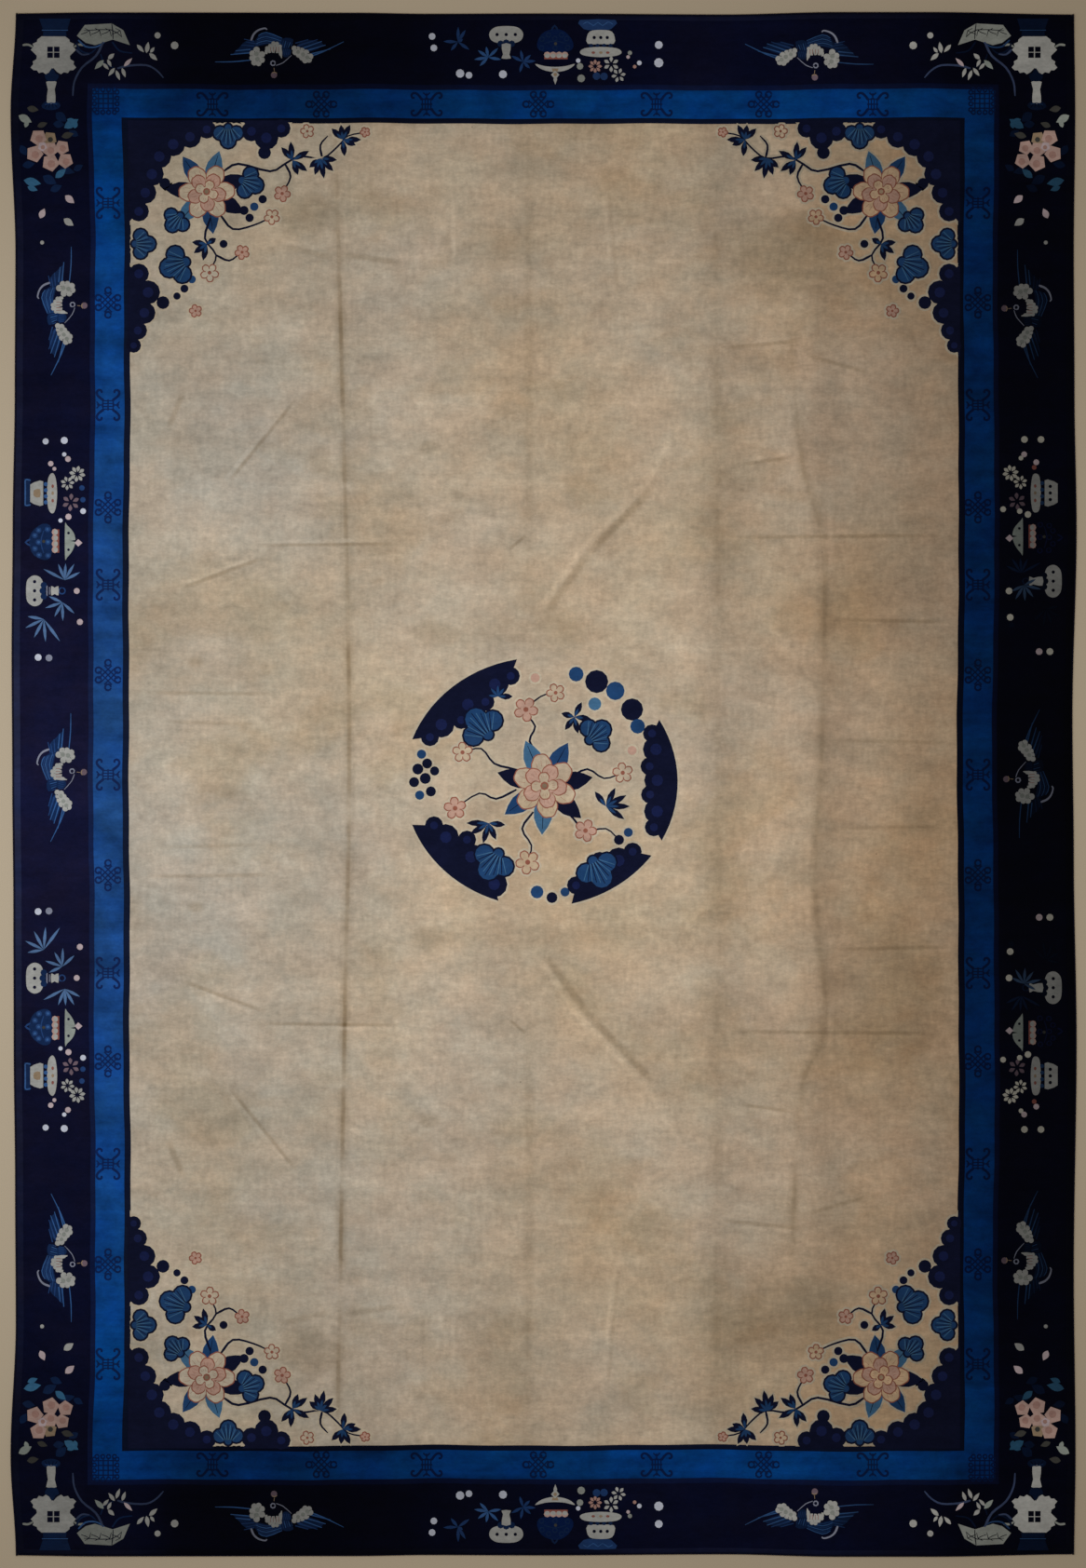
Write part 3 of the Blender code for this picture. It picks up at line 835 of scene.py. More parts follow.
class CARPET_OT_pile(bpy.types.Operator):
    """Knot the field, the band, the border and the lines between them"""
    bl_idname = "carpet.pile"
    bl_label = "Pile"

    def execute(self, context):
        sizes = context.scene.carpet_sizes
        for index, (name, side, end, yarn, slot) in enumerate(PILE_AREAS):
            mesh = flat_area(area_halves(index - 1), sizes.ground_step, area_halves(index))
            self.knot(mesh, name, yarn_material(yarn), slot, sizes)
        mesh = flat_area(area_halves(len(PILE_AREAS) - 1), sizes.ground_step)
        self.knot(mesh, "ivory_field", field_material(), "ivory_pile", sizes)
        return {"FINISHED"}

    def knot(self, mesh, name, material, slot, sizes):
        """Gives one colour's area its pile."""
        thicken(mesh, PILE_FOOT, CARPET_THICKNESS, sizes.carved_rim, sizes.carved_drop)
        settle(mesh, drawn_true=True)
        piece = finished(mesh, name, [material])
        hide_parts("carpet")


def back_material():
    """Plain cotton weave, with warp ridges and weft rows."""
    material, tree, place = new_wool("Cotton weave")
    warps, wefts = (
        node(tree, "TexWave", {"Vector": place, "Scale": scale, "Distortion": 0.6},
             bands_direction=way).outputs[1]
        for way, scale in (("X", 45.0), ("Y", 60.0)))
    weave = linear(tree, warps, 0.6, product(tree, wefts, 0.4))
    colour = mixed(tree, noise(tree, place, 5.0, 5.0), (0.52, 0.45, 0.33), (0.4, 0.33, 0.24))
    # Painted shade: the weave's tone is lower between its ridges.
    tone = linear(tree, weave, 0.3, 0.8)
    wool_shader(tree, times(tree, colour, tone), weave, 0.95, 0.4)
    return material


# Each edge's cord: its insets, its side of the carpet, and the way that it runs, 0 for X, 1 for Y.
CORDS = {
    "side_cord_left": (LEFT_INSETS, -1.0, 1), "side_cord_right": (RIGHT_INSETS, 1.0, 1),
    "end_cord_near": (END_INSETS, -1.0, 0), "end_cord_far": (END_INSETS, 1.0, 0),
}


def edge_line(name):
    """The line of an edge cord on the floor: points every half turn of the yarn."""
    insets, side, way = CORDS[name]
    start, end = (corner[way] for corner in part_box(name))
    count = round((end - start) / (bpy.context.scene.carpet_sizes.wrap_pitch / 2))
    run = np.linspace(start, end, count + 1)
    half = (RUG_LENGTH, RUG_WIDTH)[way] / 2
    aside = side * (half - along(insets, run) - CORD_DIAMETER / 2)
    return np.stack((aside, run) if way else (run, aside), axis=1)


class CARPET_OT_edges(bpy.types.Operator):
    """Overcast the four edges with navy yarn"""
    bl_idname = "carpet.edges"
    bl_label = "Overcast edges"

    def execute(self, context):
        for name in CORDS:
            piece = self.overcast(edge_line(name), "overcast_" + name)
            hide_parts(name)
        return {"FINISHED"}

    def overcast(self, line, name):
        """A tube whose surface swells and sinks with every turn of yarn."""
        sides = 6
        forward = unit_rows(np.gradient(line, axis=0))
        across = np.stack((forward[:, 1], -forward[:, 0]), axis=1)
        mesh = bmesh.new()
        bmesh.ops.create_grid(mesh, x_segments=len(line) - 1, y_segments=sides, size=1.0)
        for vertex in mesh.verts:
            ring = round((vertex.co.x + 1.0) / 2.0 * (len(line) - 1))
            turn = math.tau * round((vertex.co.y + 1.0) / 2.0 * sides) / sides
            full = 1.0 if ring % 2 else 0.86
            radius = CORD_DIAMETER / 2 * (0.8 if ring in (0, len(line) - 1) else full)
            x, y = line[ring] + across[ring] * radius * math.cos(turn)
            vertex.co = (x, y, CORD_DIAMETER / 2 + radius * math.sin(turn))
        bmesh.ops.remove_doubles(mesh, verts=mesh.verts[:], dist=0.00001)
        bmesh.ops.holes_fill(mesh, edges=[edge for edge in mesh.edges if edge.is_boundary], sides=sides)
        bmesh.ops.recalc_face_normals(mesh, faces=mesh.faces[:])
        return finished(mesh, name, [yarn_material("cord_navy")], 60.0)


# --- Drawing on the cartoon ---

def turned(points, centre, angle, scale=(1.0, 1.0)):
    """Points scaled and turned about 0 and then moved to a centre."""
    points = np.asarray(points, float) * scale
    cosine, sine = math.cos(angle), math.sin(angle)
    return points @ np.array(((cosine, sine), (-sine, cosine))) + centre


def polar(u, v, reach, degrees):
    """The point at a distance and in a direction from another."""
    angle = math.radians(degrees)
    return u + reach * math.cos(angle), v + reach * math.sin(angle)


def unit_rows(rows):
    """Rows of two numbers, each brought to a length of 1."""
    return rows / np.linalg.norm(rows, axis=1)[:, None]


def signed_area(points):
    """Twice the area inside an outline; below zero where it runs clockwise."""
    x, y = points.T
    return np.sum(x * np.roll(y, -1) - y * np.roll(x, -1))


def round_outline(sides):
    """Points round a circle of radius 1."""
    turn = np.arange(sides) * math.tau / sides
    return np.stack((np.cos(turn), np.sin(turn)), axis=1)


def leaf_outline(steps, fullness):
    """A pointed leaf from 0,0 to 1,0 with a half width of 1 at its widest."""
    t = np.arange(1, steps) / steps
    half = np.sin(math.pi * t**fullness)
    upper = np.stack((t, half), axis=1)
    return np.vstack(((0.0, 0.0), upper * (1.0, -1.0), (1.0, 0.0), upper[::-1]))


def smooth_run(points, steps, closed):
    """A smooth line through given points, with even steps from each to the next."""
    points = np.asarray(points, float)
    if closed:
        padded = np.vstack((points[-1], points, points[:2]))
    else:
        padded = np.vstack((2 * points[0] - points[1], points, 2 * points[-1] - points[-2]))
    run = []
    for before, start, end, after in zip(padded, padded[1:], padded[2:], padded[3:]):
        for t in np.arange(steps) / steps:
            bend = 2 * before - 5 * start + 4 * end - after
            twist = 3 * start - before - 3 * end + after
            run.append(0.5 * (2 * start + (end - before) * t + bend * t**2 + twist * t**3))
    if not closed:
        run.append(points[-1])
    return np.array(run)


def drawn(draw, *given):
    """A new cartoon with one design drawn on it."""
    cartoon = Cartoon()
    draw(cartoon, *given)
    return cartoon


class Cartoon:
    """Coloured outlines on the weaver's squared paper: u along the border, v towards the edge."""

    def __init__(self):
        self.shapes = []
        self.grow = 0.0
        self.only = None

    def outline(self, yarn, points, level=0):
        """Any closed outline."""
        self.shapes.append((self.only or yarn, -1 if self.only else level, np.asarray(points, float)))

    def disc(self, yarn, u, v, radius, level=0, sides=10, squash=1.0):
        """A round or oval dot."""
        size = (radius + self.grow, radius * squash + self.grow)
        self.outline(yarn, round_outline(sides) * size + (u, v), level)

    def leaf(self, yarn, u, v, length, width, degrees, level=0, fullness=0.8, steps=5):
        """A pointed leaf or petal that grows from a point."""
        angle = math.radians(degrees)
        back = np.array((u, v)) - self.grow * np.array((math.cos(angle), math.sin(angle)))
        size = (length + 2 * self.grow, width / 2 + self.grow)
        self.outline(yarn, turned(leaf_outline(steps, fullness), back, angle, size), level)

    def stroke(self, yarn, points, width, end_width=None, level=0, steps=3):
        """A ribbon of even or tapering width along a smooth line."""
        line = smooth_run(points, steps, False)
        forward = unit_rows(np.gradient(line, axis=0))
        across = np.stack((-forward[:, 1], forward[:, 0]), axis=1)
        widths = np.linspace(width, width if end_width is None else end_width, len(line)) / 2 + self.grow
        widths[[0, -1]] *= 0.7
        side = across * widths[:, None]
        self.outline(yarn, np.vstack((line + side, (line - side)[::-1])), level)

    def blob(self, yarn, points, level=0, steps=3):
        """A smooth closed shape through given points."""
        self.outline(yarn, smooth_run(self.grown(points), steps, True), level)

    def corners(self, yarn, points, level=0):
        """A closed shape with straight sides."""
        self.outline(yarn, self.grown(points), level)

    def lobed(self, yarn, points, bulge=0.35, level=0, steps=5):
        """A cloud: each side of a polygon swells into a round lobe."""
        points = self.grown(points)
        away = 1.0 if signed_area(points) > 0 else -1.0
        outline = []
        for start, end in zip(points, np.roll(points, -1, axis=0)):
            run = end - start
            out = np.array((run[1], -run[0])) * away
            for t in np.arange(steps) / steps:
                outline.append(start + run * t + out * bulge * math.sin(math.pi * t) ** 0.8)
        self.outline(yarn, outline, level)

    def grown(self, points):
        """A given outline moved outwards by the width of the halo."""
        points = np.asarray(points, float)
        if not self.grow:
            return points
        before, after = points - np.roll(points, 1, axis=0), np.roll(points, -1, axis=0) - points
        tangent = unit_rows(before) + unit_rows(after)
        length = np.maximum(np.linalg.norm(tangent, axis=1), 0.6)[:, None]
        out = np.stack((tangent[:, 1], -tangent[:, 0]), axis=1) / length
        return points + out * math.copysign(1.0, signed_area(points)) * self.grow

    def ring(self, yarn, u, v, radius, width, level=0, sides=9):
        """A round loop of line."""
        turn = np.arange(sides + 1) * math.tau * 0.97 / sides
        loop = np.stack((u + radius * np.cos(turn), v + radius * np.sin(turn)), axis=1)
        self.stroke(yarn, loop, width, level=level, steps=1)

    def star(self, yarn, u, v, radius, petals, start, level=0):
        """A blossom of thin separate petals."""
        for petal in range(petals):
            degrees = start + 360.0 * petal / petals
            foot = polar(u, v, 0.24 * radius, degrees)
            self.leaf(yarn, *foot, 0.76 * radius, 0.46 * radius, degrees, level, 1.25, 4)

    def petal(self, yarn, edge, u, v, length, width, degrees, level=0):
        """A broad petal with a lobed tip, on a slightly larger one of its edge's colour."""
        shape = ((0.0, 0.0), (0.42, -0.8), (0.86, -0.84), (1.0, 0.0), (0.86, 0.84), (0.42, 0.8))
        for yarn_now, extra, rise in ((edge, 1.1, 0), (yarn, 0.0, 1)):
            size = (length + extra, width / 2 + extra)
            self.lobed(yarn_now, turned(shape, (u, v), math.radians(degrees), size), 0.2, level + rise, 4)

    def spray(self, yarn, u, v, tips, width, level=0):
        """Blades that fan out from one point to their tips."""
        for tip_u, tip_v in tips:
            length = math.hypot(tip_u - u, tip_v - v)
            degrees = math.degrees(math.atan2(tip_v - v, tip_u - u))
            self.leaf(yarn, u, v, length, width, degrees, level, 1.1, 4)

    def marks(self, rows):
        """The marks of a table: rows of a kind of mark, its yarn and what else that kind is given."""
        for kind, yarn, *given in rows:
            getattr(self, kind)(yarn, *given)


def lay_cartoon(name, cartoon, centre, across=(1, 0), outward=(0, 1)):
    """Clips a cartoon's motifs into the pile at a centre, as one piece of raised outlines."""
    relief = bpy.context.scene.carpet_sizes.relief
    yarns = sorted({yarn for yarn, level, points in cartoon.shapes})
    axes = np.array((across, outward), float) * CARTOON_SQUARE
    mesh = bmesh.new()
    level_of = mesh.faces.layers.int.new("level")
    number_of = mesh.faces.layers.int.new("number")
    faces = []
    for number, (yarn, level, points) in enumerate(cartoon.shapes):
        places = points @ axes + centre
        face = mesh.faces.new([mesh.verts.new((x, y, CARPET_THICKNESS - MOTIF_ROOT)) for x, y in places])
        face[level_of] = level
        face[number_of] = number % STEPS_IN_TURN
        face.material_index = yarns.index(yarn)
        faces.append(face)
    raised = bmesh.ops.extrude_face_region(mesh, geom=faces, use_keep_orig=True)["geom"]
    tops = [element for element in raised if isinstance(element, bmesh.types.BMFace)]
    for face in tops:
        for vertex in face.verts:
            rise = relief * (1.0 + LEVEL_RISE * face[level_of]) + SHAPE_STEP * face[number_of]
            vertex.co.z = CARPET_THICKNESS + rise - CLIPPED_EDGE[1]
    bmesh.ops.recalc_face_normals(mesh, faces=mesh.faces[:])
    bmesh.ops.inset_individual(mesh, faces=tops, thickness=CLIPPED_EDGE[0], use_even_offset=False)
    for face in tops:
        for vertex in face.verts:
            vertex.co.z += CLIPPED_EDGE[1]
    settle(mesh)
    return finished(mesh, name, [yarn_material(yarn) for yarn in yarns], 20.0)


# --- Emblems on the blue band ---

# The middle line of the band at the ends and at its two sides, each emblem's place along it and its
# kind, the middles of the corner lattices, and the line of one scroll of a fret.
BAND_DEPTH = 112.0
BAND_SIDES = {"left": 116, "right": 1050}
TOP_EMBLEMS = (
    (228, "fret"), (345, "knot"), (458, "fret"), (578, "knot"), (705, "fret"), (820, "knot"),
    (937, "fret"))
SIDE_EMBLEMS = (
    (218, "fret"), (325, "knot"), (435, "fret"), (545, "knot"), (628, "fret"), (725, "knot"),
    (832, "fret"), (940, "knot"), (1045, "fret"), (1140, "knot"), (1250, "fret"), (1358, "knot"),
    (1465, "fret"))
CORNER_EMBLEMS = ((113.5, 108.5), (1054.5, 108.5))
FRET_SCROLL = ((5, 4.6), (7.4, 8.2), (10.6, 11.4), (14, 12), (16.2, 9.8), (15.2, 7), (12.8, 7))


def placed(points, u, v, turn):
    """Points of an emblem laid round its middle, with its two ways exchanged where it is turned."""
    return [(u + a, v + b) if not turn else (u + b, v + a) for a, b in points]


def draw_fret(cartoon, u, v, turn):
    """A barred block across the band, with four scrolls that curl away from it and two arrow ends."""
    def bar(points, width, end_width=None, steps=1):
        cartoon.stroke("emblem_navy", placed(points, u, v, turn), width, end_width, steps=steps)

    for a in (-4.6, -1.5, 1.5, 4.6):
        bar([(a, -6.6), (a, 6.6)], 1.7)
    for b in (-5.4, 0, 5.4):
        bar([(-6, b), (6, b)], 1.9)
    for side in (-1, 1):
        for out in (-1, 1):
            bar([(a * side, b * out) for a, b in FRET_SCROLL], 2.7, 2.2, 3)
    for out in (-1, 1):
        bar([(-3.6, 12.4 * out), (0, 9.2 * out), (3.6, 12.4 * out)], 2.1)
        bar([(0, 6 * out), (0, 11.8 * out)], 2)


def draw_knot(cartoon, u, v, turn):
    """The endless knot: a slanting lattice whose turns show as round loops."""
    for sign in (-1, 1):
        for step in (-1, 0, 1):
            a, b = 3.1 * step, 3.1 * step * -sign
            run = [(a - 7.2, b - 7.2 * sign), (a + 7.2, b + 7.2 * sign)]
            cartoon.stroke("emblem_navy", placed(run, u, v, turn), 2, steps=1)
        for a, b, radius in ((13.2, 0, 3.3), (5.2, -10.4, 3.2), (5.2, 10.4, 3.2)):
            (ring_u, ring_v), = placed([(a * sign, b)], u, v, turn)
            cartoon.ring("emblem_navy", ring_u, ring_v, radius, 2)


def draw_lattice(cartoon, u, v):
    """A square lattice with small loops round it."""
    for line in (-7.8, -2.6, 2.6, 7.8):
        cartoon.stroke("emblem_navy", [(u + line, v - 11), (u + line, v + 11)], 1.8, steps=1)
        cartoon.stroke("emblem_navy", [(u - 11, v + line), (u + 11, v + line)], 1.8, steps=1)
    for line in (-9.4, -3.1, 3.1, 9.4):
        for side in (-12.2, 12.2):
            cartoon.ring("emblem_navy", u + line, v + side, 2.2, 1.6, sides=7)
            cartoon.ring("emblem_navy", u + side, v + line, 2.2, 1.6, sides=7)


def on_carpet(x, y):
    """Where a square of the whole cartoon, counted from its upper left, lies on the carpet."""
    return np.array(((x - CARTOON_MIDDLE[0]) * CARTOON_SQUARE, (CARTOON_MIDDLE[1] - y) * CARTOON_SQUARE))


class CARPET_OT_emblems(bpy.types.Operator):
    """Knot the frets, endless knots and corner lattices of the blue band"""
    bl_idname = "carpet.emblems"
    bl_label = "Band emblems"

    def execute(self, context):
        draw = {"fret": draw_fret, "knot": draw_knot}
        mid_x, mid_y = CARTOON_MIDDLE
        for name, sign in (("far", 1), ("near", -1)):
            band = Cartoon()
            for x, kind in TOP_EMBLEMS:
                draw[kind](band, x - mid_x, mid_y - BAND_DEPTH, False)
            for x, y in CORNER_EMBLEMS:
                draw_lattice(band, x - mid_x, mid_y - y)
            lay_cartoon("emblems_" + name, band, (0.0, 0.0), (1, 0), (0, sign))
        for name, x in BAND_SIDES.items():
            band = Cartoon()
            for y, kind in SIDE_EMBLEMS:
                draw[kind](band, x - mid_x, mid_y - y, True)
            lay_cartoon("emblems_" + name, band, (0.0, 0.0))
        return {"FINISHED"}


# --- Cranes ---

# Cranes of the border: centre on the cartoon, the way that they fly and the way to the edge.
CRANES = {
    "crane_far_left": ((295, 57), (1, 0), (0, 1)),
    "crane_far_right": ((874, 59.5), (-1, 0), (0, 1)),
    "crane_left_upper": ((67, 329), (0, -1), (-1, 0)),
    "crane_left_middle": ((66.5, 830), (0, -1), (-1, 0)),
    "crane_right_upper": ((1102, 332), (0, -1), (1, 0)),
    "crane_right_middle": ((1104, 836), (0, 1), (1, 0)),
    "crane_near_left": ((295, 1628), (1, 0), (0, -1)),
    "crane_near_right": ((874, 1625.5), (-1, 0), (0, -1)),
    "crane_left_lower": ((67, 1356), (0, 1), (-1, 0)),
    "crane_right_lower": ((1102, 1353), (0, 1), (1, 0)),
}

# Feathers of a crane: (tip u, tip v, root u, root v, yarn).
CRANE_FEATHERS = (
    (-42, 2.4, -26, 4, "feather_blue"), (-47.5, -1.6, -25, 0.5, "feather_blue"),
    (-36, 8.5, -22, 7.5, "mid_blue"), (-31, 12, -18, 9.5, "mid_blue"), (-33, 15, -22, 12.5, "mid_blue"),
    (41.7, 13.3, 26, 8.5, "mid_blue"), (50.6, 12.6, 30, 5.2, "feather_blue"),
    (54.6, 8.6, 34, 2.6, "feather_blue"), (36, 14.5, 22, 10.5, "mid_blue"),
    (60, 4.5, 37, -1.5, "feather_blue"), (46, 14.5, 24, 7, "mid_blue"))

# A crane's long plumes and the dark shapes under its wings, as rows for the cartoon's marks.
CRANE_WINGS = (
    ("stroke", "feather_blue", ((-26, -7.5), (-45, -9.3), (-64, -9.5)), 1.3, 0.8, 0, 2),
    ("stroke", "feather_blue", ((37, -4), (52, 1.5), (74, 12.2)), 1.5, 0.9, 0, 2),
    ("blob", "deep_blue", ((-21, 2), (-44, -1), (-38, 6), (-31, 13), (-20, 12)), 0, 2),
    ("blob", "deep_blue", ((22, 5), (36, 1), (53, 8.5), (43, 13.5), (30, 13)), 0, 2),
    ("blob", "deep_blue", ((-22, 7), (-14, 14), (-5, 16.5), (0, 12.5), (-8, 9.5)), 0, 2),
    ("blob", "deep_blue", ((-24, 6), (-18, 18), (-8.5, 22.5), (2, 19), (6, 13.5), (-8, 13)), 0, 2),
    ("blob", "deep_blue", ((3, 12), (12, 16.5), (20, 14.5), (17, 9), (8, 6.5)), 0, 2),
    ("blob", "deep_blue", ((8, 6), (15.5, 7), (16.5, -1), (13, -4.5), (8.5, -3)), 0, 2))

# Round feather tips that make up the ivory patches of a crane: middle and radius.
CRANE_TIPS = (
    (-18.8, -3.8, 6.4), (-19.5, 3.4, 3.5), (-23.9, -0.4, 3.3), (-24.2, -5.4, 3.1), (-22, -10.2, 3.2),
    (-17.3, -11, 3.1), (-13.9, -7.4, 3.3), (-13.6, -1.4, 3.3), (20.9, 5, 2.9), (25, 4, 3),
    (29.2, 2.7, 3.1), (33.7, 0.4, 3.3), (38.3, -3.7, 3.2), (36.8, -7.4, 3.1), (32.6, -7.9, 3.2),
    (29.6, -4.8, 3.4), (25.8, -1.8, 3.3), (22, 0.8, 3.1), (34, -4, 3.6))

# Upright feathers of the middle patch: foot, tip and width.
CRANE_UPRIGHTS = (
    (-9.3, -1, -8.2, 5.2, 4.4), (-5.5, 0, -4.9, 7.6, 4.6), (-1.6, 0, -1.4, 10.2, 4.8),
    (2.5, 0, 2.4, 9.9, 4.6), (6.6, -5.6, 5.6, 7, 4.4))

# Round eyes in the ivory patches, as middle and radius, then where the gaps between feathers start
# and, across, the middles of the left and right ivory patches that the gaps run towards.
CRANE_EYES = ((-19.6, -1, 2.6), (-18.6, -6.6, 2.6), (25, 1, 2.2), (30.4, -1.6, 2.4), (35, -4.8, 2.4))
CRANE_GAPS = (
    (-21.8, 2), (-25.6, -3), (-16.4, 1.2), (-12.6, -4.6), (-15.6, -10), (23, 6), (27.2, 5.2), (31.6, 3.2),
    (36.6, -0.6), (39.2, -6.4))
CRANE_PATCH_MIDDLES = (-19, 28)

# A crane's body, and its neck, bill and crown.
CRANE_BODY = ((-9, -3.5), (-5, 0.2), (2, -0.6), (7, -5.5), (5, -14.5), (-3, -17.5), (-9, -11))
CRANE_HEAD = (
    ("ring", "pale_line", -1.8, -11, 2.5, 1.5, 4, 7),
    ("stroke", "pale_line", ((1.4, -13.4), (9, -10.4), (18, -2.5)), 1, 0.7, 4, 2),
    ("stroke", "tan", ((-0.8, -16), (-0.4, -19.5)), 0.9, 0.9, 4, 1),
    ("disc", "mauve", -0.8, -23.6, 3.5, 4, 9),
    ("stroke", "tan", ((-3, -22), (-0.3, -20.6), (2.4, -22)), 1, 1, 5, 2))


def draw_crane(cartoon):
    """A flying crane: ivory wing patches, blue feathers, a dark body and a thin pale neck."""
    for tip_u, tip_v, root_u, root_v, yarn in CRANE_FEATHERS:
        cartoon.stroke(yarn, [(root_u, root_v), (tip_u, tip_v)], 2, 1.2, 1, 1)
    cartoon.marks(CRANE_WINGS)
    blues = ("mid_blue", "feather_blue")
    for row in range(6):
        out = 0.12 + 0.17 * row
        barb = [(-21 + 3.5 * out, 6.5 + 12.5 * out), (-9, 9.5 + 13 * out), (6 + 2 * out, 7.5 + 8.5 * out)]
        cartoon.stroke(blues[row % 2], barb, 1.1, None, 1, 2)
    for row in range(5):
        barb = [(7.5 + 2.4 * row, 5 + 0.4 * row), (9.5 + 2.4 * row, 13.5 - 0.7 * row)]
        cartoon.stroke(blues[row % 2], barb, 1.1, None, 1, 1)
        cartoon.stroke("mid_blue", [(8.6 + 1.9 * row, -2), (9.6 + 1.9 * row, 4)], 1, None, 1, 1)
    back = [(-25.5, 13.3), (-22.6, 20.2), (-17.6, 24.6), (-10.7, 26.6), (-8.2, 25.1)]
    cartoon.stroke("pale_line", back, 2.4, 1.3, 1)
    for u, v, radius in CRANE_TIPS:
        cartoon.disc("ivory", u, v, radius, 2, 11)
    for foot_u, foot_v, tip_u, tip_v, width in CRANE_UPRIGHTS:
        cartoon.stroke("ivory", [(foot_u, foot_v), (tip_u, tip_v)], width * 0.8, width, 2, 2)
        cartoon.disc("ivory", tip_u, tip_v, width / 2, 2, 10)
    cartoon.blob("border_navy", CRANE_BODY, 3)
    for u, v, radius in CRANE_EYES:
        cartoon.disc("grey_ivory", u, v, radius, 3, 8)
    for u in (-4.4, -1.4, 1.6, 4.2):
        cartoon.stroke("brick", [(u, 1), (u * 1.05, 6.6)], 0.8, None, 3, 1)
    for u, v in CRANE_GAPS:
        inward = 0.22 * CRANE_PATCH_MIDDLES[u > 0]
        cartoon.stroke(
            "border_navy", [(u, v), (u + inward - 0.22 * u, v - 0.22 * v - 0.6)], 0.8, None, 3, 1)
    cartoon.marks(CRANE_HEAD)


class CARPET_OT_cranes(bpy.types.Operator):
    """Knot the flying cranes of the border"""
    bl_idname = "carpet.cranes"
    bl_label = "Cranes"

    def execute(self, context):
        for name, (centre, flight, outward) in CRANES.items():
            lay_cartoon(name, drawn(draw_crane), on_carpet(*centre), flight, outward)
        return {"FINISHED"}


# --- Vases, sprays and blossoms in the middle of each border ---

# Groups in the middle of the borders: kind, centre on the cartoon, the way along the border and
# the way to the edge. The left and the right side's differ a little in their sizes and yarns.
VASE_GROUPS = {
    "vases_far": ("end", (595, 55), (1, 0), (0, 1)),
    "vases_near": ("end", (595, 1630), (1, 0), (0, -1)),
    "vases_left_upper": ("side", (55, 583), (0, 1), (-1, 0)),
    "vases_left_lower": ("side", (55, 1102), (0, -1), (-1, 0)),
    "vases_right_upper": ("right", (1113, 578), (0, 1), (1, 0)),
    "vases_right_lower": ("right", (1113, 1107), (0, -1), (1, 0)),
}

# Of each kind: the pot's two sides and its rim's reach, and the oval vase's middle, half width and
# neck top; then the yarns of the pot's beads and of the covered vase's shell and its marks.
VASE_SIZES = {
    "end": ((36, 64, 8.5), (-51.5, 18.3, 7.4)),
    "side": ((40, 66.5, 8.5), (-51.5, 16.6, 0)),
    "right": ((34.4, 62.6, 6.8), (-46.2, 17.6, 6.2)),
}
VASE_YARNS = {
    "end": ("deep_blue", "emblem_navy", "deep_blue"),
    "side": ("feather_blue", "deep_blue", "mid_blue"),
    "right": ("feather_blue", "border_navy", "violet_navy"),
}

# What each pot stands on, as rows for the cartoon's marks.
POT_STANDS = {
    "end": (
        ("blob", "mid_blue", (
            (27.5, 33.5), (66, 33.5), (63.5, 26), (57, 22.8), (36, 22.8), (29.5, 26)), 0, 2),
        ("stroke", "feather_blue", (
            (31, 29), (36, 31.5), (42, 27.5), (47, 31), (52, 27.5), (58, 31.5),
            (63, 29)), 1.1, 1.1, 1, 2)),
    "side": (
        ("corners", "deep_blue", ((39, 22.5), (69, 22.5), (69, 29), (39, 29))),
        ("stroke", "feather_blue", (
            (41, 22), (40.4, 27.5), (47, 27.8), (60, 27.8), (67.6, 27.5), (67, 22)), 1.5, 1.5, 1)),
    "right": (),
}

# The covered vase's shell, the middles of its loops and the lines of its lid and its shoulder.
COVERED_VASE = (
    (-16, 1), (-18.5, 8), (-14, 18), (-5, 23), (6, 23.5), (15, 18), (20.5, 9), (19, 1.5), (10, -1),
    (-6, -1))
COVERED_VASE_LOOPS = (
    (-13.5, 3.5), (14.5, 4), (-13, 13), (13.5, 13.5), (-6, 17.5), (8, 17.5), (1, 3.5), (0.8, 13.5))
COVERED_VASE_LID = ((-3, 22.5), (0.5, 27.5), (4, 22.5))
COVERED_VASE_SHOULDER = ((-11, 8), (-3, 10.5), (5, 10.5), (13, 8))

# The bowl of the groups at the ends and of those at the sides, each with what hangs below it.
END_BOWL = (
    ("blob", "ivory", (
        (-20.5, -13.6), (-10, -16), (1, -16.8), (12, -16), (22.4, -13.6), (15, -19.6), (1, -22.4),
        (-13, -19.6))),
    ("corners", "tan", ((-2.6, -18.6), (4.6, -18.6), (3.6, -22), (-1.6, -22)), 1),
    ("corners", "ivory", (
        (-3.4, -25.2), (1, -20.8), (5.6, -25.2), (2.8, -28.8), (3.2, -30.6), (1.2, -36), (-0.8, -30.6),
        (-0.4, -28.8)), 2),
    ("disc", "tan", 1.1, -25.2, 2, 3, 7))
SIDE_BOWL = (
    ("blob", "pale_green", (
        (19.3, -14.8), (19, -17), (11, -24), (2, -26), (-8, -23), (-15.8, -17), (-16, -14.8))),
    ("corners", "border_navy", ((0.8, -26.6), (3.2, -26.6), (2, -20.5)), 1),
    ("disc", "border_navy", -7.5, -18.6, 1.5, 1, 7),
    ("disc", "border_navy", 10.5, -18.6, 1.5, 1, 7),
    ("corners", "blush", ((-4, -29), (0, -25), (4, -29), (0, -33.5))))

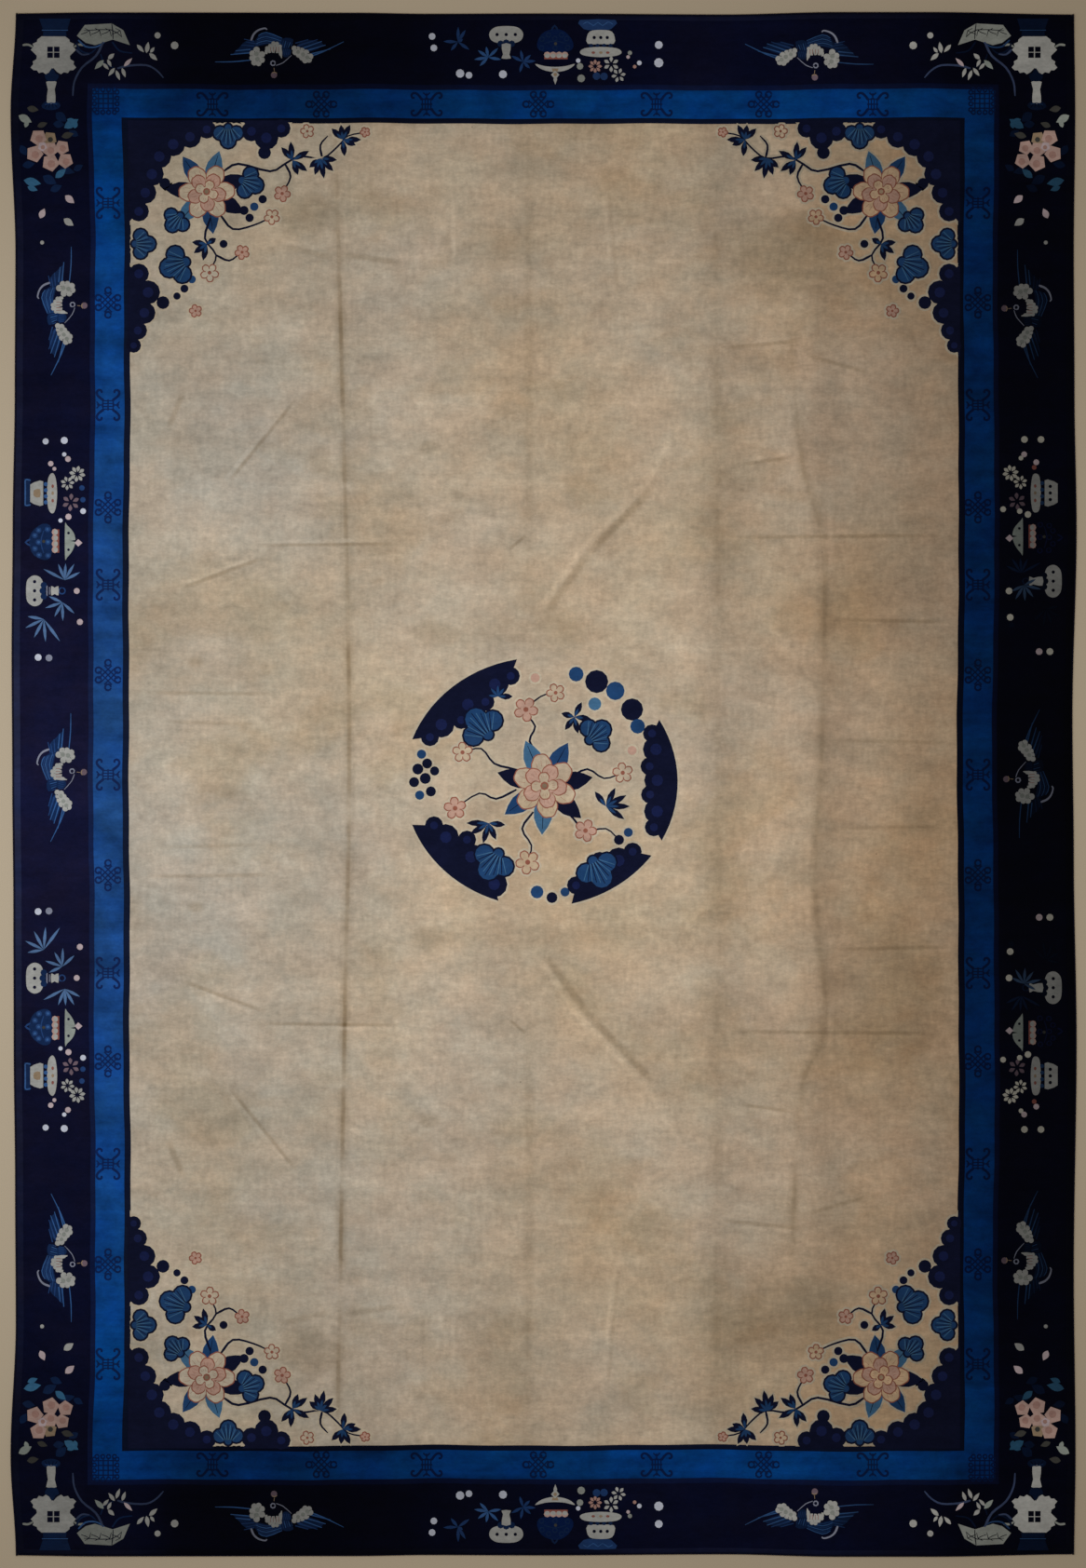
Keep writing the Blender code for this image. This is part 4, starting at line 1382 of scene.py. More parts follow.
# Blossoms of thin petals: yarn, middle, radius, petals and the first one's direction.
VASE_STARS = {
    "end": (
        ("peony_shade", 44, -16.2, 7.4, 8, 0),
        ("ivory", 61.2, -13.9, 8.6, 6, 30),
        ("ivory", 69.2, -25.8, 7.8, 6, 10)),
    "side": (
        ("ivory", 74, -28, 8.8, 8, 80),
        ("ivory", 64, -17.5, 7.6, 7, 20),
        ("mauve", 43.5, -21, 9.6, 6, 55)),
    "right": (
        ("cream", 70, -28, 8.8, 8, 80),
        ("cream", 60, -17.5, 7.6, 7, 20),
        ("mauve", 39.5, -21, 9.6, 6, 55)),
}

# Loose dots and buds: (u, v, radius, yarn).
VASE_DOTS = {
    "end": (
        (-131.1, 15.9, 3.7, "white"), (-129.2, 3.5, 3.7, "white"), (-101, -23.9, 4.6, "white"),
        (-91.5, -25.8, 3.7, "white"), (-55, -24.8, 4.4, "white"), (25.8, -10.1, 2.5, "white"),
        (27.7, -16.2, 3.6, "grey_ivory"), (29, -29.2, 4.2, "grey_ivory"), (45.5, -26.7, 4.2, "mid_blue"),
        (53.5, -27, 4.2, "mid_blue"), (81.3, -1.8, 2.4, "grey_ivory"), (79.4, -6.2, 2, "blush"),
        (91.4, -12.6, 2.6, "white"), (86.4, -16.6, 2, "peony_shade"), (112.3, 6.7, 4.3, "white"),
        (112.3, -12.4, 5, "white")),
    "side": (
        (95, -14, 2.4, "white"), (90, -18, 3.2, "blush"), (85, 0.5, 3, "blush"),
        (79.5, -3.4, 2.2, "blush"), (109, 6, 3.4, "white"), (110, -14, 3.9, "white"),
        (59, -33, 3, "mid_blue"), (46.3, -34, 3, "mid_blue"), (34, -34.2, 3.2, "white"),
        (28, -18.5, 3.4, "blush"), (24, -10, 2.4, "white"), (-51.7, -27.4, 3.3, "blush"),
        (-85, -30.8, 3.4, "blush"), (-123, 14, 3.8, "white"), (-123.6, 2.4, 3.8, "pale_line")),
    "right": (
        (90, -13.4, 3.2, "blush"), (86, -16.8, 2.6, "cream"), (81.5, -0.4, 3.2, "blush"),
        (76, -2.6, 2.6, "brick"), (106, 4.6, 3.7, "cream"), (106, -13.1, 3.7, "cream"),
        (31.1, -36, 3.2, "cream"), (29, -18.2, 3, "cream"), (25.5, -9.4, 3.6, "cream"),
        (-56.7, -29.6, 3.7, "cream"), (-85, -28.4, 3.7, "cream"), (-93.4, -27, 3.2, "deep_blue"),
        (-121.8, 2.7, 3.7, "blush"), (-121.8, 14.2, 3.8, "cream")),
}

# Sprays of narrow leaves: (yarn, width, root, tips).
VASE_SPRAYS = {
    "end": (
        ("mid_blue", 3.6, (-103.3, 10), (
            (-119, 10.5), (-103, 26), (-95, 23), (-111, 0.5), (-91, 1.5), (-98, 13))),
        ("feather_blue", 3.4, (-70.8, -6.7), (
            (-86, -9), (-82, 1), (-73, 5), (-60, 3.5), (-80, -16), (-57, -9))),
        ("mid_blue", 3.4, (-33.5, -11.4), (
            (-46, -5), (-36, 1.5), (-25, -4), (-20, -10.5), (-37, -23), (-26, -18.5)))),
    "side": (
        ("spray_blue", 3.3, (-40, -14.5), (
            (-28, 8.5), (-22.5, -7.5), (-22, -15.5), (-22.5, -24.8), (-31.5, -31))),
        ("spray_blue", 3.3, (-64, -12), (
            (-57.5, 2.5), (-70, 6.5), (-79.5, -3.5), (-84, -12.5), (-76, -25))),
        ("spray_blue", 3.4, (-82, 8), (
            (-79, 25.5), (-91.5, 28), (-102, 18.5), (-106.5, 6), (-106, -9.5)))),
    "right": (
        ("mid_blue", 3, (-37.5, -16.5), (
            (-26, 4.5), (-21.5, -9.5), (-21, -17.5), (-21.5, -26.8), (-29.5, -33))),
        ("spray_blue", 3.2, (-50.5, -13.5), (
            (-44, -1), (-55, 5), (-63.5, -3.5), (-67.5, -12.5), (-66, -23), (-57, -27))),
        ("deep_blue", 3.2, (-76, 10), ((-73, 24.5), (-84.5, 25), (-93, 16.5), (-95.5, 7), (-90, -4.5)))),
}


def both_sides(low, high, half):
    """An outline's left half, given from a low u, followed by its mirror image from a high one."""
    return [(low + a, v) for a, v in half] + [(high - a, v) for a, v in reversed(half)]


def draw_pot(cartoon, kind):
    """A squat ivory pot on its stand, with a row of beads and a wide rim."""
    (low, high, lip), bead_yarn = VASE_SIZES[kind][0], VASE_YARNS[kind][0]
    middle = (low + high) / 2
    cartoon.marks(POT_STANDS[kind])
    if kind == "end":
        body = both_sides(low, high, ((0, 8), (-1, 15), (2, 21), (9, 22.8)))
        cartoon.blob("ivory", [*body, (middle, 7.6)], 0, 2)
    else:
        cartoon.corners("ivory", both_sides(low, high, ((0.5, 8.6), (-0.5, 12), (1.5, 18.5), (4, 22.6))))
    if kind == "side":
        cartoon.blob("tan", [(49, 12), (57.5, 12), (56.5, 18.5), (50, 18.5)], 1, 2)
    for step in range(4):
        cartoon.disc(bead_yarn, low + 3.5 + (high - low - 7) * step / 3, 5.9, 2.3, 1, 7)
        if step < 3 and kind != "side":
            cartoon.disc("border_navy", low + 7 + (high - low - 14) * step / 2, 14.6, 1.9, 1, 7)
    rim = [(low - lip, -1.2), (low - 3, 3.2), (middle, 4.6), (high + 3, 3.2), (high + lip, -1.2),
           (high + 3, -4.8), (middle, -6.4), (low - 3, -4.8)]
    cartoon.blob("ivory", rim, 1 if kind == "end" else 0)
    for yarn, aside in (("brick", -8), ("tan", 0), ("brick", 7.5)):
        cartoon.disc(yarn, middle + aside, -1.6, 2, 2, 7, 0.7)


def draw_covered_vase(cartoon, kind):
    """A covered vase, dark at the ends and bluer on the left, with a scalloped edge below it."""
    shell, marks = VASE_YARNS[kind][1:]
    cartoon.blob(shell, COVERED_VASE, 0, 2)
    for u, v in COVERED_VASE_LOOPS:
        cartoon.ring(marks, u, v, 2.5, 1.5, 1, 7)
        if kind == "side":
            cartoon.disc("feather_blue", u, v, 1.7, 2, 6)
    cartoon.stroke(marks, COVERED_VASE_LID, 2.2, None, 1, 2)
    cartoon.stroke(marks, COVERED_VASE_SHOULDER, 1.3, None, 1, 2)
    cartoon.disc("olive", 1.5, 8, 1.8, 2, 7)
    cartoon.corners("brick", [(-10.6, -5.6), (14.4, -5.6), (14.4, -8.6), (-10.6, -8.6)])
    for step in range(4):
        cartoon.disc("pink", -7.4 + 6.3 * step, -3.8, 3.7, 1, 8, 0.9)
        cartoon.disc("ivory", -7.4 + 6.3 * step, -5, 3, 2, 8, 0.8)


def draw_oval_vase(cartoon, kind):
    """A spotted oval vase with its collar and neck."""
    middle, half, neck_top = VASE_SIZES[kind][1]
    top = both_sides(middle, middle, ((-half, 17.5), (-0.87 * half, 23), (-8.5, 26.6)))
    foot = [(0.85 * half, 11.5), (7.8, 8.8), (0, 11.5), (-7.8, 8.8), (-0.85 * half, 11.5)]
    cartoon.blob("ivory", top + [(middle + a, v) for a, v in foot])
    for a in (-9.8, 0, 9.8):
        cartoon.disc("border_navy", middle + a, 17.8, 1.9, 1, 7)
    for a, v in ((-6, 8), (0, 9.2), (6, 8)):
        cartoon.disc("deep_blue", middle + a, v, 3.6, 1, 8)
    if kind == "side":
        for reach, v, width in ((5.5, 4.6, 1.8), (4, 1.8, 1.2)):
            cartoon.stroke("pale_line", [(middle - reach, v), (middle + reach, v)], width, steps=1)
    neck = [(-5, neck_top), (5, neck_top), (3.4, -3.6), (5, -7.8), (-5, -7.8), (-3.4, -3.6)]
    cartoon.blob("ivory", [(middle + a, v) for a, v in neck], 1, 2)
    if kind != "end":
        cartoon.ring("mid_blue", middle, -11.6, 3.4, 1.5)


def draw_vase_group(cartoon, kind):
    """A pot, a covered vase, a bowl, a spotted oval vase, sprays and blossoms."""
    draw_pot(cartoon, kind)
    draw_covered_vase(cartoon, kind)
    cartoon.marks(END_BOWL if kind == "end" else SIDE_BOWL)
    draw_oval_vase(cartoon, kind)
    for yarn, width, root, tips in VASE_SPRAYS[kind]:
        cartoon.spray(yarn, *root, tips, width, 2)
    for star in VASE_STARS[kind]:
        cartoon.star(*star)
    for u, v, radius, yarn in VASE_DOTS[kind]:
        cartoon.disc(yarn, u, v, radius, 1, 9)


class CARPET_OT_vases(bpy.types.Operator):
    """Knot the vases, sprays and blossoms in the middle of each border"""
    bl_idname = "carpet.vases"
    bl_label = "Vase groups"

    def execute(self, context):
        for name, (kind, centre, across, outward) in VASE_GROUPS.items():
            lay_cartoon(name, drawn(draw_vase_group, kind), on_carpet(*centre), across, outward)
        return {"FINISHED"}


# --- The vase, dish and peony of each border corner ---

# Where a corner's cartoon starts, and the ways across and along the carpet from there.
CORNERS = {
    "far_left": ((0, 0), (1, 0), (0, -1)),
    "far_right": ((1168, 0), (-1, 0), (0, -1)),
    "near_left": ((0, 1685), (1, 0), (0, 1)),
    "near_right": ((1168, 1685), (-1, 0), (0, 1)),
}

# The footed vase: its foot, the right half of its body, and its collar, neck and mouth.
CORNER_FOOT = (
    ("corners", "deep_blue", ((42, 20), (76, 20), (72.5, 31), (46, 31))),
    ("stroke", "feather_blue", ((45, 32.4), (73, 32.4)), 1.4, 1.4, 1, 1),
    ("corners", "deep_blue", ((46.5, 33.5), (71, 33.5), (71.5, 40), (46, 40))))
CORNER_VASE_MIDDLE = 57.3
CORNER_VASE_SIDE = (
    (70, 39), (74.5, 42.5), (75, 45), (79.5, 47), (78.5, 50), (81.6, 53.5), (78, 57), (75, 60),
    (75.5, 63.5), (79.5, 66), (79, 69), (81.8, 72.5), (78.5, 75.5), (75, 75.5), (73, 78.5), (68.5, 77.5),
    (65.5, 79.8), (61.5, 77.5))
CORNER_NECK = (
    ("blob", "deep_blue", (
        (56, 73), (60, 79), (63.5, 80.5), (60, 87.5), (51, 87.5), (48, 80.5), (52, 79)), 1, 2),
    ("blob", "ivory", (
        (49.5, 88), (55.5, 87.4), (60.8, 88), (58.8, 96), (59.6, 110), (50.2, 110), (51.4, 96)), 1, 2),
    ("blob", "deep_blue", (
        (49, 109), (61, 109), (65, 113.4), (61.5, 117), (54.8, 118.4), (47.6, 117),
        (44.4, 113.8)), 0, 2))

# The lattice dish, the lines across it, and the stems and leaves' ribs that trail from it.
CORNER_DISH = (
    (82.5, 38.5), (91, 26.8), (120, 25.2), (132.5, 32.5), (139.5, 48.5), (121, 42.5), (102, 48.5),
    (92, 46))
CORNER_STEMS = (
    ("stroke", "border_navy", ((90, 33), (119, 32), (131, 40)), 0.9, 0.9, 1, 2),
    ("stroke", "border_navy", ((120, 25.5), (121, 33), (121.5, 42)), 1.2, 1.2, 1, 1),
    ("stroke", "feather_blue", ((84, 43), (92, 50), (103, 50.5), (112, 45.5)), 2, 1.4),
    ("stroke", "deep_blue", ((82, 46), (86, 54), (96, 57.5), (103, 52.5)), 2.6, 1.4),
    ("stroke", "slate", ((81.5, 53), (88, 58.5), (96, 58)), 2.4, 1.6),
    ("stroke", "slate", ((110.8, 45.1), (103, 60), (88, 72.5), (79.8, 88), (78.2, 103)), 2.6, 1.8),
    ("stroke", "deep_blue", ((120.5, 45), (128.4, 54.5), (142, 57)), 2.2, 1.4),
    ("stroke", "deep_blue", ((108, 58), (112, 68), (122, 72.5)), 1.8, 1.2),
    ("stroke", "slate", ((126, 73.5), (138, 70.5), (157, 70), (168, 75.5), (175.5, 83.5)), 2.4, 1.6))

# Leaves and loose petals: (foot x, foot y, length, width, direction in degrees, yarn).
CORNER_LEAVES = (
    (147, 48, 10.5, 4.2, 47, "ivory"), (157.2, 57, 11.5, 4.8, -80, "ivory"),
    (161.4, 56.6, 7, 3.4, -53, "ivory"), (160.2, 57.2, 11, 4.8, 41, "ivory"),
    (111.4, 64.6, 13, 5.4, 135, "pale_green"), (116, 63.6, 8.6, 4.6, -42, "ivory"),
    (115.4, 63.8, 8.6, 3.6, 63, "ivory"), (110.4, 67.8, 9, 3.6, 47, "ivory"),
    (123.2, 73, 10.4, 4, 128, "ivory"), (124.5, 75.4, 11, 4, 69, "ivory"),
    (131, 73, 10.2, 4, 70, "ivory"), (133, 71.4, 12, 4.2, -45, "blush"),
    (20, 124, 15, 8.5, 28, "pale_green"), (27, 137, 9, 5, -70, "pale_green"),
    (29, 116, 12, 7, 10, "olive"), (40, 136, 11, 6, -20, "olive"), (66, 147, 13, 7, -15, "olive"),
    (69, 137.5, 17, 9, -32, "light_blue"), (72, 128, 11, 6.5, 25, "light_blue"),
    (80, 138, 8, 5, -75, "light_blue"), (25.5, 193.5, 18, 9, 12, "light_blue"),
    (29.5, 200.5, 11, 6, 20, "light_blue"), (59.5, 191, 14, 7.5, -40, "light_blue"),
    (60, 121, 14, 10, 40, "deep_blue"), (57, 133, 12, 8, 5, "deep_blue"),
    (84, 146, 11, 7, -150, "deep_blue"), (22, 156, 12, 8, 60, "deep_blue"),
    (24, 178, 13, 8, -10, "deep_blue"), (46, 189, 16, 10, 30, "deep_blue"),
    (64, 181, 16, 8, 15, "deep_blue"), (54, 205, 13, 8, -25, "deep_blue"),
    (79, 183, 11, 7, -30, "deep_blue"), (70, 210, 12, 7.5, 40, "blush"), (43, 234.5, 11, 7, -65, "blush"),
    (68.5, 235, 12, 7.5, 35, "ivory"))

# Petals of the corner's peony, from the lowest: (middle x, middle y, radius, yarn).
PEONY_PETALS = (
    (53.4, 149, 7.4, "tan"), (41.3, 147.9, 8.6, "pink"), (37.2, 165.2, 8.8, "pink"),
    (53.9, 160.6, 8, "pink"), (66.6, 158.4, 7.6, "pink"), (54.4, 174.9, 8.9, "pink"),
    (70.2, 172.6, 8, "pink"), (45.6, 157.6, 5, "blush"))


def draw_corner_vase(cartoon):
    """A footed ivory vase with a lobed body, laid to the carpet's corner."""
    cartoon.marks(CORNER_FOOT)
    mirrored = [(2 * CORNER_VASE_MIDDLE - u, v) for u, v in CORNER_VASE_SIDE[::-1]]
    cartoon.corners("ivory", [*CORNER_VASE_SIDE, (CORNER_VASE_MIDDLE, 73), *mirrored])
    for u in (-6.6, 0.6):
        for v in (-6, 0.4):
            left, right, low, high = 57.4 + u, 63.4 + u, 56.2 + v, 61.8 + v
            cartoon.corners("border_navy", [(left, low), (right, low), (right, high), (left, high)], 1)
    for side in (1, -1):
        handle = [(CORNER_VASE_MIDDLE - side * out, v) for out, v in ((33, 48.5), (27, 48), (22, 50.5))]
        cartoon.stroke("grey_ivory", handle, 2.6, 2)
    cartoon.marks(CORNER_NECK)
    for a in (-6.6, -2.4, 2.4, 6.6):
        cartoon.stroke("border_navy", [(54.8 + 0.5 * a, 110.6), (54.8 + a, 115.8)], 0.9, None, 1, 1)
    cartoon.stroke("mid_blue", [(48, 112.5), (55, 110.8), (61.5, 112)], 1.4, None, 1)


def draw_corner_peony(cartoon):
    """A full peony: five-sided petals, each with a shaded heart."""
    for x, y, radius, yarn in PEONY_PETALS:
        petal = round_outline(5) * radius * 1.08
        cartoon.corners(yarn, turned(petal, (x, y), math.pi / 2 + 0.012 * (x - y)), 2)
        heart_yarn, share = ("olive", 0.36) if yarn == "tan" else ("peony_shade", 0.44)
        heart = turned(petal, (x + 0.1 * radius, y + 0.14 * radius), x + y, share)
        cartoon.lobed(heart_yarn, heart, 0.12, 3, 3)


def draw_corner(cartoon):
    """A footed vase laid to the corner, a lattice dish, trailing stems, petals and a peony."""
    draw_corner_vase(cartoon)
    cartoon.corners("grey_ivory", CORNER_DISH)
    for step in range(4):
        u = 92 + 11 * step
        cartoon.stroke("border_navy", [(u - 1, 30.5), (u + 4, 33), (u + 5.5, 39)], 0.9, None, 1, 1)
        cartoon.stroke("border_navy", [(u - 5, 37), (u + 0.5, 35), (u + 4, 33)], 0.9, None, 1, 1)
    cartoon.marks(CORNER_STEMS)
    for x, y, length, width, degrees, yarn in CORNER_LEAVES:
        cartoon.leaf(yarn, x, y, 1.06 * length, width, degrees, 1, 0.85, 6)
    draw_corner_peony(cartoon)
    for x, y, radius in ((169.2, 38, 3.4), (187.5, 48.8, 4.2), (45.2, 260.5, 2.2)):
        cartoon.disc("ivory", x, y, radius, 1, 9)


class CARPET_OT_corners(bpy.types.Operator):
    """Knot the vase, dish and peony of each border corner"""
    bl_idname = "carpet.corners"
    bl_label = "Border corners"

    def execute(self, context):
        for name, (start, across, down) in CORNERS.items():
            lay_cartoon("corner_" + name, drawn(draw_corner), on_carpet(*start), across, down)
        return {"FINISHED"}


# --- The field's medallion and corner pieces ---

# Where the medallion's middle lies on the cartoon, and its half sides.
MEDALLION_MIDDLE = (580.6, 840)
MEDALLION_HALF = (147, 134)

# Clouds that hug the medallion's rim, as (first degree, last degree, depth, knobs on the inner
# edge), and the radius of their knobs.
RIM_CLOUDS = ((100, 160, 30, 7), (-28, 30, 26, 7), (200, 252, 36, 6), (283, 324, 28, 5))
CLOUD_KNOB = 12.0

# Clouds of a field corner, in squares from the carpet's corner: where each leaves the band, its
# knobs, and where it meets the band again. Round buds lie beside them, and the pale line round
# their dark wool ends at the band.
CORNER_CLOUDS = (
    (
        ((137.2, 129.3), (230, 129.3)),
        (
            (222, 139, 10), (204, 147, 12), (186, 155, 13), (171, 168, 13), (163, 187, 13),
            (156, 207, 12), (149, 227, 11)), ((137.2, 240),)),
    (((260, 129.3), (312, 129.3)), ((302, 138, 10), (286, 148, 13), (270, 141, 11)), ()),
    (
        ((137.2, 284),),
        ((149, 294, 11), (159, 314, 13), (155, 336, 12), (148, 355, 10), (143.5, 371, 8)),
        ((137.2, 384),)))
CLOUD_BUDS = ((284, 164, 7), (177, 197, 6), (175, 325, 7))
HALO_CORNER = (139.5, 131.6)

# Flowers of the medallion and of a field corner. A twig is its points and a bamboo spray its root
# and tips. Fruits and blossoms are (u, v, radius, yarn), and ruyi heads and peonies are (u, v, size,
# direction in degrees).
MEDALLION_FLOWERS = {
    "twigs": (
        ((0, 26), (-12, 44), (-6, 60), (-16, 76), (0, 92), (16, 96)),
        ((30, 4), (50, 14), (68, 4), (88, 10)), ((22, -24), (34, -38), (48, -52), (70, -50), (84, -62)),
        ((-8, -32), (-20, -50), (-10, -68), (-14, -84)), ((-26, -8), (-48, -18), (-66, -12), (-92, -28)),
        ((-28, 14), (-50, 20), (-64, 36), (-84, 32))),
    "sprays": (
        ((70, -26), ((90, -40), (96, -26), (92, -14), (80, -6), (58, -10))),
        ((-56, -44), ((-76, -56), (-80, -44), (-62, -66), (-48, -62), (-38, -46))),
        ((-46, 92), ((-64, 94), (-60, 108), (-46, 114), (-34, 108), (-30, 92))),
        ((36, 70), ((26, 56), (40, 52), (22, 74), (44, 86), (54, 68)))),
    "fruits": (
        (98, 78, 12, "field_navy"), (80, 98, 10, "field_blue"), (60, 108, 12.5, "field_navy"),
        (104, 60, 8, "field_blue"), (38, 116, 8, "field_blue"), (58, 84, 7, "field_teal"),
        (-132, 14, 6, "field_navy"), (-136, 0, 5.5, "field_navy"), (-124, 4, 6, "field_navy"),
        (-122, 20, 5.5, "field_navy"), (-128, 30, 5, "field_blue"), (-114, 12, 5, "field_navy"),
        (-130, -14, 5, "field_blue"), (-118, -10, 5.5, "field_navy"), (84, -62, 5.5, "field_navy"),
        (94, -54, 5, "field_blue"), (-6, 112, 5, "field_pink"), (98, 34, 5, "field_pink"),
        (-4, -118, 7, "field_blue"), (12, -124, 6, "field_navy"), (26, -118, 5, "field_blue")),
    "blossoms": (
        (-16, 78, 12, "field_pink"), (88, 10, 10, "field_ivory"), (48, -52, 11, "field_pink"),
        (-14, -86, 12, "field_ivory"), (-92, -28, 11, "field_pink"), (-84, 32, 10, "field_ivory"),
        (16, 96, 9, "field_ivory")),
    "ruyi": ((-62, 58, 21, 128), (60, -92, 20, -62), (-50, -84, 20, 238), (58, 50, 17, 40)),
    "peonies": ((4, -4, 31, 10),),
}
CORNER_FLOWERS = {
    "twigs": (
        (
            (240, 184), (256, 176), (290, 184), (306, 176), (322, 168), (346, 170), (362, 158),
            (374, 146), (394, 142)), ((306, 176), (312, 190), (304, 206)),
        ((346, 170), (344, 156), (352, 146)), ((236, 230), (250, 246), (272, 242), (290, 234)),
        ((226, 234), (220, 256), (232, 274), (226, 290)), ((232, 274), (246, 280), (258, 272))),
    "sprays": (
        ((314, 172), ((302, 158), (312, 152), (320, 188), (330, 184), (332, 162))),
        ((344, 170), ((338, 188), (348, 192), (358, 184), (362, 172), (332, 180))),
        ((368, 150), ((356, 138), (366, 134), (376, 134), (382, 156), (370, 168), (388, 150))),
        ((222, 262), ((206, 260), (208, 272), (218, 280), (232, 256)))),
    "fruits": (
        (262, 226, 5, "field_navy"), (273, 222, 4.6, "field_blue"), (268, 234, 4.6, "field_navy"),
        (282, 214, 4.6, "field_navy"), (240, 262, 4.4, "field_navy"), (206, 300, 4.4, "field_blue"),
        (198, 310, 4.4, "field_navy"), (190, 318, 4, "field_navy")),
    "blossoms": (
        (303, 208, 8, "field_pink"), (292, 233, 7.5, "field_ivory"), (225, 293, 9, "field_ivory"),
        (260, 271, 7, "field_pink"), (330, 141, 6.5, "field_ivory"), (392, 142, 4.5, "field_pink"),
        (210, 334, 6, "field_pink")),
    "ruyi": (
        (192, 284, 18, 160), (266, 196, 15, 20), (190, 236, 13, 130), (245, 143, 14, 90),
        (151, 262, 14, 0)),
    "peonies": ((222, 206, 27, 30),),
}

# A field peony's rings of petals, from the outermost: how many, their length and width by the
# peony's size, their yarn and their level. Then a ruyi head's round lobes: (forward, aside, radius).
PEONY_RINGS = (
    (6, 1.08, 0.6, "field_ivory", 2), (5, 0.74, 0.48, "field_pink", 4),
    (4, 0.44, 0.32, "field_ivory", 6))
RUYI_LOBES = ((0, 0.62, 0.5), (0, -0.62, 0.5), (0.58, 0, 0.56), (0.12, 0, 0.55), (-0.42, 0, 0.26))


def draw_peony(cartoon, u, v, size, turn):
    """A full peony: blue leaves, lobed petals edged in brick, a small tan heart."""
    def rib(yarn, degrees, start, end, width, end_width, level):
        line = [polar(u, v, start, degrees), polar(u, v, end, degrees)]
        cartoon.stroke(yarn, line, width, end_width, level, 1)

    for leaf in range(7):
        yarn, degrees = ("field_navy", "field_blue", "field_teal")[leaf % 3], turn + 360 * leaf / 7
        cartoon.leaf(yarn, u, v, 1.7 * size, 0.66 * size, degrees, 0, 1.2, 6)
        rib("field_navy", degrees, 0.9 * size, 1.5 * size, 1.4, 0.8, 1)
    for count, reach, width, yarn, level in PEONY_RINGS:
        for petal in range(count):
            degrees = turn + 14 * level + 360 * petal / count
            cartoon.petal(yarn, "field_brick", u, v, reach * size, width * size, degrees, level)
            for vein in (-13, 0, 13):
                start, end = 0.62 * reach * size, 0.84 * reach * size
                rib("field_brick", degrees + vein, start, end, 0.8, 0.6, level + 1)
    cartoon.disc("field_brick", u, v, 0.15 * size, 8, 8)
    cartoon.disc("tan", u, v, 0.09 * size, 9, 7)


def draw_ruyi(cartoon, u, v, size, degrees):
    """A ruyi head: a blue three-lobed cloud with pale and dark ribs and a navy edge."""
    angle = math.radians(degrees)
    for yarn, extra, level in (("field_navy", 2, 2), ("field_blue", 0, 3)):
        for forward, aside, radius in RUYI_LOBES:
            (x, y), = turned([(forward * size, aside * size)], (u, v), angle)
            cartoon.disc(yarn, x, y, radius * size + extra, level, 12)
    for rib in range(11):
        aside = 0.155 * (rib - 5)
        ends = [(-0.32 * size, 0.42 * aside * size), ((0.95 - 0.85 * abs(aside)) * size, 1.2 * aside * size)]
        yarn = ("field_teal", "field_navy")[rib % 2]
        cartoon.stroke(yarn, turned(ends, (u, v), angle), 1.5, 1.1, 4, 1)


def draw_blossom(cartoon, u, v, radius, yarn):
    """A small five-petalled blossom edged in brick."""
    for petal in range(5):
        cartoon.petal(yarn, "field_brick", u, v, radius, 0.62 * radius, u + v + 72 * petal, 2)
    cartoon.disc("field_brick", u, v, 0.24 * radius, 4, 7)


def draw_flowers(cartoon, flowers):
    """Twigs with bamboo leaves, round fruits, blossoms, ruyi heads and peonies."""
    for twig in flowers["twigs"]:
        cartoon.stroke("field_navy", twig, 2.8, 1.6)
    for root, tips in flowers["sprays"]:
        inner = [(0.45 * root[0] + 0.55 * u, 0.45 * root[1] + 0.55 * v) for u, v in tips]
        cartoon.spray("field_navy", *root, tips, 7)
        cartoon.spray("field_blue", *root, inner, 3, 1)
    for u, v, radius, yarn in flowers["fruits"]:
        cartoon.disc(yarn, u, v, radius, 0, 12)
    for blossom in flowers["blossoms"]:
        draw_blossom(cartoon, *blossom)
    for head in flowers["ruyi"]:
        draw_ruyi(cartoon, *head)
    for peony in flowers["peonies"]:
        draw_peony(cartoon, *peony)


def draw_knobs(cartoon, knobs):
    """The round knobs along a cloud's edge, each with a faint blue eye."""
    for u, v, radius in knobs:
        cartoon.disc("field_navy", u, v, radius, 0, 12)
        cartoon.disc("field_violet", u, v, 0.45 * radius, 1, 9)


def draw_medallion(cartoon):
    """A round spray of flowers and fruit between clouds that follow the rim."""
    half_u, half_v = MEDALLION_HALF
    grow = cartoon.grow
    for first, last, depth, knobs in RIM_CLOUDS:
        rim = np.radians(np.linspace(first, last, 15))
        share = (np.arange(knobs) + 0.5) / knobs
        angle = np.radians(first + (last - first) * share)
        inside = depth * np.sin(math.pi * share) ** 0.5 * (1.0 + 0.16 * (-1.0) ** np.arange(knobs))
        outer = np.stack(((half_u + grow) * np.cos(rim), (half_v + grow) * np.sin(rim)), axis=1)
        centres = np.stack(((half_u - inside) * np.cos(angle), (half_v - inside) * np.sin(angle)), axis=1)
        cartoon.outline("field_navy", np.vstack((outer, centres[::-1])))
        sizes = CLOUD_KNOB * (1.0 - 0.18 * (-1.0) ** np.arange(knobs))
        draw_knobs(cartoon, np.column_stack((centres, sizes)))
    draw_flowers(cartoon, MEDALLION_FLOWERS)


def draw_field_corner(cartoon):
    """Knobbed clouds along the band, a peony in their bend and twigs that trail from it."""
    for start, knobs, end in CORNER_CLOUDS:
        cartoon.corners("field_navy", [*start, *(knob[:2] for knob in knobs), *end])
        draw_knobs(cartoon, knobs)
    for u, v, radius in CLOUD_BUDS:
        cartoon.disc("field_navy", u, v, radius, 0, 12)
    draw_flowers(cartoon, CORNER_FLOWERS)


